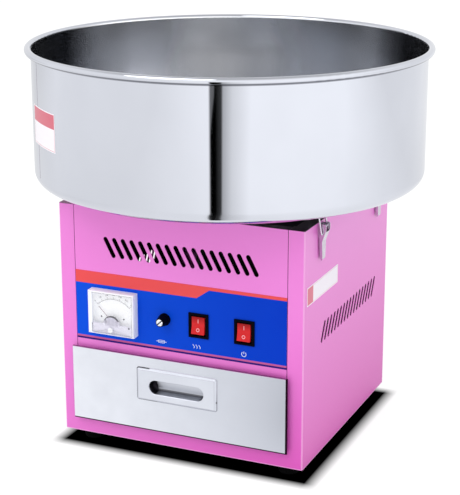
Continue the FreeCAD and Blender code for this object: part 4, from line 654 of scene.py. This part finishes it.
# ------------------------ drawer
# The drawer's front, box and flush pull are satin stainless steel, ground along the drawer's width.
# The pull is pressed from one plate: a flat border and a round-ended pocket for the fingers.

def grinding(finish):
    """Lines left by the grinding belt, and broad patches."""
    return finish.grain(1, 3, finish.stretched(30, 900, 900)), finish.grain(26 * mm, 4)


def close_ground(finish, colour, lines, patch):
    """Closes a finish of ground steel."""
    finish.close({"Base Color": colour, "Metallic": 1.0, "Roughness": 0.34 + lines * 0.08 + patch * 0.06,
                  "Normal": finish.relief(lines, 0.004 * mm)})


satin = Finish("satin stainless steel")
across, _, up = satin.split(satin.place)
ground, patch = grinding(satin)
front_low, front_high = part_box("drawer_front")
# Painted reflection: the steel is paler on the left and greyer toward the right.
rightward_reflection = satin.rise(across, front_low.x, front_high.x)
# Painted shadow: a near-black line along the right end and the foot.
edge = satin.maths("MAXIMUM", satin.rise(abs(across), front_high.x - 2.0 * mm, front_high.x - 1.6 * mm)
                   * satin.rise(across, -60 * mm, 60 * mm),
                   1 - satin.rise(up, front_low.z + 1.6 * mm, front_low.z + 2.0 * mm))
# Painted reflection: a dull pink line along the top edge.
top_edge_pink_reflection = satin.rise(up, front_high.z - 0.9 * mm, front_high.z - 0.6 * mm)
steel = satin.layers(srgb(244, 246, 252), (rightward_reflection, srgb(196, 199, 208)), (patch * 0.45, srgb(200, 202, 209)),
                     (top_edge_pink_reflection, srgb(150, 100, 140)), (edge, srgb(24, 4, 18)))
close_ground(satin, steel, ground, patch)
satin.coat("drawer_front", "drawer_box")

pull_low, pull_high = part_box("drawer_handle")
pull_half = (pull_high - pull_low) / 2
pull_middle = (pull_low + pull_high) / 2
pull_bevel = 2.6 * mm
pocket_half, pocket_round, pocket_drop = 37.5 * mm, 9 * mm, 2 * mm
pocket_foot = pull_middle.z - pocket_drop - pocket_round
pocket_head = pull_middle.z - pocket_drop + pocket_round

pressed = Finish("pressed pull")
across, along, up = pressed.split(pressed.place)
ground, patch = grinding(pressed)
# Painted shade: grey lines at the plate's edge and bevel, a darker upper bevel, a darker pocket with a dark
# band along its lower wall, and a near-black left end of the pocket.
inset_by = pressed.maths("MINIMUM", pull_half.x - abs(across - pull_middle.x),
                         pull_half.z - abs(up - pull_middle.z))
plate_edge_shade = 1 - pressed.rise(inset_by, 0.3 * mm, 0.8 * mm)
bevel_shade_line = pressed.band(inset_by, pull_bevel, pull_bevel + 0.4 * mm, 0.4 * mm)
upper_bevel_shade = ((1 - pressed.rise(inset_by, pull_bevel - 0.3 * mm, pull_bevel))
               * pressed.rise(up, pull_high.z - pull_bevel, pull_high.z - pull_bevel + 0.3 * mm))
in_pocket = pressed.rise(along, pull_low.y + 1.0 * mm, pull_low.y + 2.2 * mm)
left_end_shade = in_pocket * (1 - pressed.rise(across + (up - pull_middle.z) * 0.25,
                                         4.5 * mm - pocket_half, 6.5 * mm - pocket_half))
lower_wall_shadow = in_pocket * pressed.band(up, pocket_foot + 0.8 * mm, pocket_foot + 2.6 * mm, 0.8 * mm)
pocket_shade = in_pocket * (1 - pressed.rise(up, pocket_foot + 2 * mm, pocket_head))
steel = pressed.layers(srgb(224, 227, 234), (patch, srgb(214, 216, 224)), (upper_bevel_shade, srgb(188, 191, 198)),
                       (pressed.maths("MAXIMUM", plate_edge_shade, bevel_shade_line * 0.5), srgb(172, 170, 180)),
                       (pocket_shade * 0.45, srgb(120, 122, 130)), (lower_wall_shadow * 0.85, srgb(50, 50, 56)),
                       (left_end_shade, srgb(34, 32, 38)))
close_ground(pressed, steel, ground, patch)
pressed.coat("drawer_handle")


# ------------------------ bowl
# The bowl is spun from one sheet of stainless steel, with its rim rolled round a wire.
# It is polished outside; inside, the spinning lines are left, and a weld runs up the wall.

polished = Finish("polished stainless steel")
across, along, _ = polished.split(polished.place)
radius, turn, up = polished.around()
lines = polished.grain(1, 3, polished.join(radius * 900, turn * 5, up * 900))
haze = polished.grain(1, 2, polished.join(radius * 12, turn * 4, up * 12))
bowl_low, bowl_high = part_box("bowl")
round_radius, round_level = 236.5 * mm, 354.5 * mm
inner_reach, outer_reach = 14.85 * mm, 15.2 * mm
beyond_round = polished.maths("MAXIMUM", radius - round_radius, 0)
under_round = polished.maths("MAXIMUM", round_level - up, 0)
wall_reach = (beyond_round ** 2 + under_round ** 2) ** 0.5
inside = 1 - polished.rise(wall_reach, inner_reach, outer_reach)
bead_round = 4.4 * mm
bead_level = bowl_high.z - bead_round
from_bead = radius - (bowl_high.x - bead_round)
over_bead = up - bead_level
bead_reach = (from_bead ** 2 + over_bead ** 2) ** 0.5
on_bead = 1 - polished.rise(bead_reach, bead_round + 0.1 * mm, bead_round + 0.18 * mm)
facing = (1 - inside * 2) / wall_reach
outward = on_bead * from_bead / bead_round + (1 - on_bead) * beyond_round * facing
upward = on_bead * over_bead / bead_round - (1 - on_bead) * under_round * facing
true_normal = polished.node("ShaderNodeVectorMath", {"operation": "NORMALIZE"}, {0: polished.join(
    outward * across / radius, outward * along / radius, upward)})
mesh_normal = polished.node("ShaderNodeNewGeometry", output="Normal")
spun = polished.node("ShaderNodeMix", {"data_type": "VECTOR"}, {
    0: polished.rise(radius, 150 * mm, 151 * mm), 4: mesh_normal, 5: true_normal}, output=1)
# Painted shade: a dark line in the crease under the rolled bead, outside.
bead_crease_shade = polished.band(up, bead_level - 5.4 * mm, bead_level - 2.4 * mm, 0.8 * mm) * (1 - inside)
foot_round = 1 - polished.rise(up, 350 * mm, 358 * mm)
# Painted reflection inside the bowl: the upper wall goes dark toward its left and right ends and is paler on
# the left half of the far wall; the floor has a milder pattern of the same bands.
reflection_band_turn = math.radians(110)
reflection_bands = polished.rise(polished.maths("COSINE", turn * 2 - reflection_band_turn * 2), -0.65, -0.1)
low_wall = 1 - polished.rise(up, 412 * mm, 450 * mm)
far_side_highlight = polished.rise(turn, math.radians(106), math.radians(117))
streaks = polished.rise(polished.grain(1, 2, polished.join(7, turn * 6, up * 3)), 0.3, 0.7)
outer_steel = polished.layers(srgb(202, 204, 211), (haze, srgb(210, 212, 219)),
                              (bead_crease_shade * 0.75, srgb(60, 60, 70)))
inner_steel = polished.blend(far_side_highlight, srgb(226, 228, 233), srgb(253, 253, 254))
inner_steel = polished.blend(polished.maths("MAXIMUM", low_wall, reflection_bands * (0.88 + streaks * 0.12)),
                             srgb(72, 74, 80), inner_steel)
floor_steel = polished.blend(reflection_bands, srgb(168, 170, 176), srgb(212, 214, 218))
inner_steel = polished.blend(polished.rise(up, 342 * mm, 354 * mm), floor_steel, inner_steel)
polished.close({"Base Color": polished.blend(inside, outer_steel, inner_steel), "Metallic": 1.0,
                "Roughness": (0.03 + inside * 0.15 + foot_round * (1 - inside) * 0.04
                              + lines * 0.015 + haze * 0.01),
                "Normal": polished.relief(lines, 0.0010 * mm, spun)})
polished.coat("bowl")

wall_radius = 252 * mm
label_start, label_end = -140, -122.5
label_foot, label_head = 399 * mm, 447 * mm


def wrapped(name, start, end, foot, head, thickness, finish, columns=24, rows=12):
    """A thin strip that lies on the bowl's wall between two angles, in degrees."""
    mesh = bpy.data.meshes.new(name)
    points = []
    for row in range(rows + 1):
        for column in range(columns + 1):
            turn = math.radians(start + (end - start) * column / columns)
            points.append((wall_radius * math.cos(turn), wall_radius * math.sin(turn),
                           foot + (head - foot) * row / rows))
    width = columns + 1
    faces = [(row * width + column, row * width + column + 1, (row + 1) * width + column + 1,
              (row + 1) * width + column) for row in range(rows) for column in range(columns)]
    mesh.from_pydata(points, [], faces)
    mesh.materials.append(finish.material)
    piece = put(name, mesh)
    skin = piece.modifiers.new("Thickness", "SOLIDIFY")
    skin.thickness = thickness
    skin.offset = 1
    edge = piece.modifiers.new("Edge", "BEVEL")
    edge.width = thickness * 0.3
    edge.segments = 2
    return piece


sticker = Finish("bowl sticker")
_, turn, up = sticker.around()
border, line_width = 1.4 * mm, 0.5 * mm
label_split = label_head - 0.40 * (label_head - label_foot)


def sticker_field(margin):
    """The sticker's face inside a margin."""
    turn_margin = margin / wall_radius
    return (sticker.band(up, label_foot + margin, label_head - margin, 0.2 * mm)
            * sticker.band(turn, math.radians(label_start) + turn_margin,
                           math.radians(label_end) - turn_margin, 0.001))


within = sticker_field(border)
red_part = within * sticker.rise(up, label_split, label_split + 0.2 * mm)
outline = within * (1 - sticker_field(border + line_width))
paper = sticker.grain(4 * mm, 2)
print_colour = sticker.layers(srgb(246, 240, 245), (paper, srgb(252, 248, 251)),
                              (sticker.maths("MAXIMUM", red_part, outline), srgb(214, 92, 112)))
sticker.close({"Base Color": print_colour, "Roughness": 0.35 + paper * 0.08, "Coat Weight": 0.2})
bowl_label = wrapped("bowl_label", label_start, label_end, label_foot, label_head, 0.18 * mm, sticker)
seat(bowl_label, "casing")

seam_turn, seam_half = -135.6, 0.12
weld = wrapped("bowl_weld", seam_turn - seam_half, seam_turn + seam_half, bowl_low.z + 17 * mm,
               bowl_high.z - 9.5 * mm, 0.10 * mm, plating, columns=4, rows=60)
seat(weld, "casing")


# ------------------------ side label
# A bare white plate with a red field at its front end is stuck on the casing's right side.
# It is foil, printed with a thin red outline and sealed with clear lacquer.

plate_middle = Vector((casing_high.x, -95.2 * mm, 237.2 * mm))
plate_half_along, plate_half_up = 53.8 * mm, 11.8 * mm
plate_thickness = 0.2 * mm

plate_print = Finish("side plate print")
_, along, up = plate_print.split(plate_print.place)
plate_front, plate_rear = plate_middle.y - plate_half_along, plate_middle.y + plate_half_along
plate_foot, plate_head = plate_middle.z - plate_half_up, plate_middle.z + plate_half_up
inset, red_length = 1.2 * mm, 20 * mm
foil = plate_print.grain(5 * mm, 2)


def plate_field(margin, rear, soft):
    """The plate's face inside a margin, as far back as the given place."""
    return (plate_print.band(along, plate_front + margin, rear, soft)
            * plate_print.band(up, plate_foot + margin, plate_head - margin, soft))


red_field = plate_field(inset, plate_front + red_length, 0.2 * mm)
plate_line = (plate_field(inset, plate_rear - inset, 0.1 * mm)
              * (1 - plate_field(inset + 0.5 * mm, plate_rear - inset - 0.5 * mm, 0.1 * mm)))
plate_red = srgb(222, 94, 122)
plate_colour = plate_print.layers(srgb(247, 240, 249), (foil, srgb(253, 248, 253)),
                                  (plate_line * 0.6, plate_red), (red_field, plate_red))
plate_print.close({"Base Color": plate_colour, "Roughness": 0.3 + foil * 0.08, "Coat Weight": 0.2})

form = bmesh.new()
corner = 1 * mm
outline = []
for quarter, (y_side, z_side) in enumerate(((1, 1), (-1, 1), (-1, -1), (1, -1))):
    for step in range(7):
        turn = math.radians(90 * quarter + 15 * step)
        outline.append((plate_middle.y + y_side * (plate_half_along - corner) + corner * math.cos(turn),
                        plate_middle.z + z_side * (plate_half_up - corner) + corner * math.sin(turn)))
back = [form.verts.new((plate_middle.x, y, z)) for y, z in outline]
front = [form.verts.new((plate_middle.x + plate_thickness, y, z)) for y, z in outline]
form.faces.new(back)
form.faces.new(front)
for number in range(len(outline)):
    after = (number + 1) % len(outline)
    form.faces.new((back[number], back[after], front[after], front[number]))
seat(shaped("side_label", form, plate_print), "casing")


# ------------------------ rivets and screws
# Blind rivets hold the latch bases; cross-recessed screws hold the seat ring to the deck and the floss
# head's lid to its posts.

rivet = Shape("rivets", {"Aim": "NodeSocketVector", "Radius": "NodeSocketFloat"})
size = rivet.given("Radius")
flange = rivet.node("GeometryNodeMeshCylinder", {}, {"Vertices": 20, "Radius": size, "Depth": size * 0.4})
ball = rivet.node("GeometryNodeMeshUVSphere", {}, {"Segments": 20, "Rings": 10, "Radius": size * 0.85})
dome = rivet.node("GeometryNodeTransform", {}, {
    "Geometry": ball, "Scale": (1, 1, 0.5), "Translation": rivet.join(0, 0, size * 0.15)})
stub = rivet.node("GeometryNodeMeshCylinder", {}, {
    "Vertices": 12, "Radius": size * 0.3, "Depth": size * 0.3})
pin = rivet.node("GeometryNodeTransform", {}, {
    "Geometry": stub, "Translation": rivet.join(0, 0, size * 0.52)})
head = rivet.node("GeometryNodeJoinGeometry", {}, {})
for part in (flange, dome, pin):
    rivet.tree.links.new(part.socket, head.socket.node.inputs["Geometry"])
aimed = rivet.node("FunctionNodeAlignRotationToVector", {"axis": "Z"}, {"Vector": rivet.given("Aim")})
rivet.end(rivet.node("GeometryNodeInstanceOnPoints", {}, {
    "Points": rivet.node("GeometryNodeMeshToPoints", {}, {"Mesh": rivet.given("Base")}),
    "Instance": head, "Rotation": aimed}))

rivet_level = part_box("latch_bases")[0].z + 4 * mm
rivet_gap = 3.6 * mm
levers = [joint["pos_m"] for name, joint in joints.items() if name.startswith("lever_")]
for side, word in ((1, "right"), (-1, "left")):
    spots = [(side * (casing_high.x + 1.5 * mm), y + step * rivet_gap, rivet_level)
             for x, y, _ in levers if x * side > 0 for step in (-1, 1)]
    rivets = rivet.grow(f"latch_rivets_{word}", spots, [], plating,
                        {"Aim": (side, 0, 0), "Radius": 1.7 * mm})
    seat(rivets, "casing")


def screws(name, circle, level, turns, head_radius, body):
    """Pan-head screws with a cross recess, standing upright on a circle about the machine's axis."""
    profile = [(0, -0.3), (head_radius, -0.3), (head_radius, 0.5), (head_radius * 0.86, 1.3),
               (head_radius * 0.5, 1.8), (0, 1.95)]
    recess_size = (head_radius * 1.1 * mm, head_radius * 0.26 * mm, 1.6 * mm)
    recess_level, recess_turn = 1.9 * mm, 0.4
    pieces = []
    for degrees in turns:
        turn = math.radians(degrees)
        spot = Vector((circle * math.cos(turn), circle * math.sin(turn), level))
        middle = Matrix.Translation(spot + Vector((0, 0, recess_level)))
        recess = [(recess_size, middle @ Matrix.Rotation(recess_turn + quarter * math.pi / 2, 4, "Z"))
                  for quarter in (0, 1)]
        pieces.append(cut(turned(name, profile, spot, (0, 0, 1), plating, steps=20), recess))
    for piece in pieces[1:]:
        other = bmesh.new()
        other.from_mesh(pieces[0].data)
        other.from_mesh(piece.data)
        other.to_mesh(pieces[0].data)
        other.free()
        bpy.data.objects.remove(piece)
    seat(pieces[0], body)


ring_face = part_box("top_deck")[1].z + 1.5 * mm
lid_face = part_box("head_band")[1].z + 1.5 * mm
screws("seat_ring_screws", 112 * mm, ring_face, range(30, 390, 60), 3.2, "casing")
screws("lid_screws", 36 * mm, lid_face, (90, 210, 330), 4.2, "spinner")


# ------------------------ floss head and motor
# The head is spun aluminium with a matt anodised band and a dull lid; its heating ring is browned steel.
# The spindle carries a laminate hub with brass slip rings, which carbon brushes in brass holders touch.
# The motor's end bells are painted castings; the fuse behind the panel is a glass tube.

aluminium = Finish("spun aluminium")
radius, turn, up = aluminium.around()
rings = aluminium.grain(1, 3, aluminium.join(radius * 1400, turn * 3, up * 1400))
film_of_oxide = aluminium.grain(18 * mm, 3)
aluminium.close({"Base Color": aluminium.blend(film_of_oxide, srgb(232, 233, 235), srgb(246, 247, 248)),
                 "Metallic": 1.0, "Roughness": 0.34 + rings * 0.12,
                 "Normal": aluminium.relief(rings, 0.004 * mm)})
aluminium.coat("head_base", "spindle_guard")

pale_metal = Finish("matt anodised band")
pale_metal.mottle(5 * mm, 3, srgb(244, 244, 246), srgb(252, 252, 253), 0.4, 0.1, {"Metallic": 0.15})
pale_metal.coat("head_band")

dull_lid = Finish("dull aluminium lid")
dull_lid.mottle(12 * mm, 3, srgb(150, 152, 157), srgb(176, 178, 183), 0.4, 0.1, {"Metallic": 1.0})
dull_lid.coat("head_lid")

browned = Finish("heat-browned steel")
browned.mottle(12 * mm, 3, srgb(92, 84, 84), srgb(134, 112, 92), 0.38, 0.1, {"Metallic": 0.9})
browned.coat("heating_element")

casting = Finish("black painted casting")
casting.mottle(0.8 * mm, 3, srgb(14, 14, 16), srgb(28, 28, 30), 0.5, 0.12, {
    "Specular IOR Level": 0.2, "Normal": casting.relief(casting.grain(0.8 * mm, 3), 0.05 * mm)})
casting.coat("motor_end_bells")

brass = Finish("turned brass")
track = brass.grain(1, 2, brass.stretched(20, 20, 1200))
brass.close({"Base Color": brass.blend(track, srgb(196, 158, 88), srgb(216, 180, 108)), "Metallic": 1.0,
             "Roughness": 0.22 + track * 0.12})
brass.coat("slip_rings", "brush_holders")

laminate = Finish("brown laminate")
layers = laminate.grain(1, 3, laminate.stretched(60, 60, 700))
laminate.close({"Base Color": laminate.blend(layers, srgb(120, 74, 40), srgb(150, 98, 56)),
                "Roughness": 0.45 + layers * 0.1})
laminate.coat("slip_ring_hub", "brush_board")

carbon = Finish("pressed carbon")
carbon.mottle(0.6 * mm, 3, srgb(40, 40, 42), srgb(62, 62, 64), 0.6, 0.15)
carbon.coat("carbon_brushes")

glass = Finish("fuse glass")
glass.close({"Base Color": srgb(226, 238, 236), "Roughness": 0.05 + glass.grain(4 * mm, 1) * 0.04,
             "Alpha": 0.4})
glass.coat("fuse_link")


# ------------------------ studio
# A white room: an endless floor that keeps a little of the machine's shadow and has a black shadow painted
# under the casing, an even pale dome, and one soft lamp.
# A strip of black cloth on the floor, in front of the machine, gives the polished bowl its dark streak.

white_level, dome_level = 1.0, 0.88
left_level, right_level = 1.12, 1.38


def mirrored_in(graph):
    """1 for what is seen in a mirror or through glass."""
    return graph.maths("MAXIMUM", graph.node("ShaderNodeLightPath", output="Is Glossy Ray"),
                       graph.node("ShaderNodeLightPath", output="Is Transmission Ray"))


world = bpy.data.worlds.new("white room")
world.use_nodes = True
scene.world = world
room = Graph(world.node_tree)
room.tree.nodes.clear()
east, north, above = room.split(room.node("ShaderNodeTexCoord", output="Generated"))
camera_ray = room.node("ShaderNodeLightPath", output="Is Camera Ray")
side_light = room.rise(east, -0.9, 0.9)
wall_light = (side_light * (right_level - left_level) + left_level) * (1 - room.rise(north, 0.0, 0.8) * 0.2)
ceiling = room.rise(above, 0.55, 0.95)
seen_in_metal = wall_light * (1 - ceiling * 0.45)
mirrored = mirrored_in(room)
level = mirrored * seen_in_metal + (1 - mirrored) * dome_level
level = camera_ray * white_level + (1 - camera_ray) * level
room.node("ShaderNodeOutputWorld", {}, {"Surface": room.node(
    "ShaderNodeBackground", {}, {"Color": srgb(252, 253, 255), "Strength": level})})

floor_half = 60
floor_mesh = bpy.data.meshes.new("floor")
floor_mesh.from_pydata([(x * floor_half, y * floor_half, 0) for x, y in ((-1, -1), (1, -1), (1, 1), (-1, 1))],
                       [], [(0, 1, 2, 3)])
floor = put("floor", floor_mesh)
stage = Finish("studio floor")
east, north, _ = stage.split(stage.place)
camera_ray = stage.node("ShaderNodeLightPath", output="Is Camera Ray")
shade_edge = 18 * mm
# Painted shadow: a soft-edged black patch on the floor under the casing.
painted_shadow_patch = (stage.band(east, casing_low.x, casing_high.x + 3 * mm, shade_edge)
           * stage.band(north, casing_low.y, casing_high.y, shade_edge))
open_floor = 1 - painted_shadow_patch
floor_grey = stage.blend(open_floor, (0.0, 0.0, 0.0, 1), (0.98, 0.98, 0.98, 1))
matt = stage.node("ShaderNodeBsdfDiffuse", {}, {"Color": floor_grey})
floor_level, shadow_share = 1.08, 0.15
white = stage.node("ShaderNodeEmission", {}, {
    "Color": srgb(255, 255, 255), "Strength": open_floor * floor_level})
seen = stage.node("ShaderNodeMixShader", {}, {0: camera_ray * (1 - shadow_share), 1: matt, 2: white})
cloth_near = 0.34
ahead = 0 - north - cloth_near
left_edge = stage.maths("MINIMUM", ahead * 0.254 + 0.075, ahead * 0.226 + 0.108)
right_edge = ahead * 0.357 + 0.114
share = (east - left_edge) / (right_edge - left_edge)
far_fringe = (1 - stage.rise(share - stage.rise(ahead, 1.86, 2.4) * 0.35, -0.05, 0.05)) * 0.14
right_fringe = (stage.rise(share, 0.45, 1.0) * 0.05 + stage.rise(share, 0.97, 1.12) * 0.41
                + stage.rise(share, 1.12, 2.0) * 0.30 + stage.rise(share, 2.0, 4.0) * 0.24)
cloth = (stage.rise(share, -0.14, 0.02) * stage.rise(ahead, -0.04, -0.02)
         * (1 - stage.rise(ahead, 2.9, 3.4)) * (1 - right_fringe - far_fringe))
side_light = stage.rise(east, -0.8, 0.8) * (right_level - left_level) + left_level
rear_light = 1 - stage.rise(north, -0.1, 1.3) * 0.22
near_light = 0.92 + stage.rise((east * east + north * north) ** 0.5, 0.9, 2.3) * 0.08
lit = stage.node("ShaderNodeEmission", {}, {
    "Color": srgb(252, 253, 255),
    "Strength": side_light * rear_light * near_light * open_floor * (1 - cloth)})
stage.node("ShaderNodeOutputMaterial", {}, {"Surface": stage.node(
    "ShaderNodeMixShader", {}, {0: mirrored_in(stage), 1: seen, 2: lit})})
floor_mesh.materials.append(stage.material)

lamp = bpy.data.lights.new("soft_lamp", "SUN")
lamp.energy = 0.8
lamp.angle = math.radians(40)
put("soft_lamp", lamp).rotation_euler = Vector((-0.25, -0.6, 0.9)).to_track_quat("Z", "Y").to_euler()


# ------------------------ camera
# The camera stands in front of the machine, above its rim and to its right, and looks at its upper half.
# The lens is long, and shifted a little, so that the machine fills the picture.

picture_side = 495
focal_pixels = 1473.69
aim_point = Vector((0.00606, 0.00264, 0.26087))
camera_place = Vector((0.75186, -1.71013, 0.80396))
camera_data = bpy.data.cameras.new("camera")
camera_data.lens = focal_pixels / picture_side * camera_data.sensor_width
camera_data.shift_x = -4.93 / picture_side
camera_data.shift_y = -15.93 / picture_side
camera = put("camera", camera_data)
camera.location = camera_place
camera.rotation_euler = (camera_place - aim_point).to_track_quat("Z", "Y").to_euler()
scene.camera = camera
scene.view_settings.view_transform = "Standard"
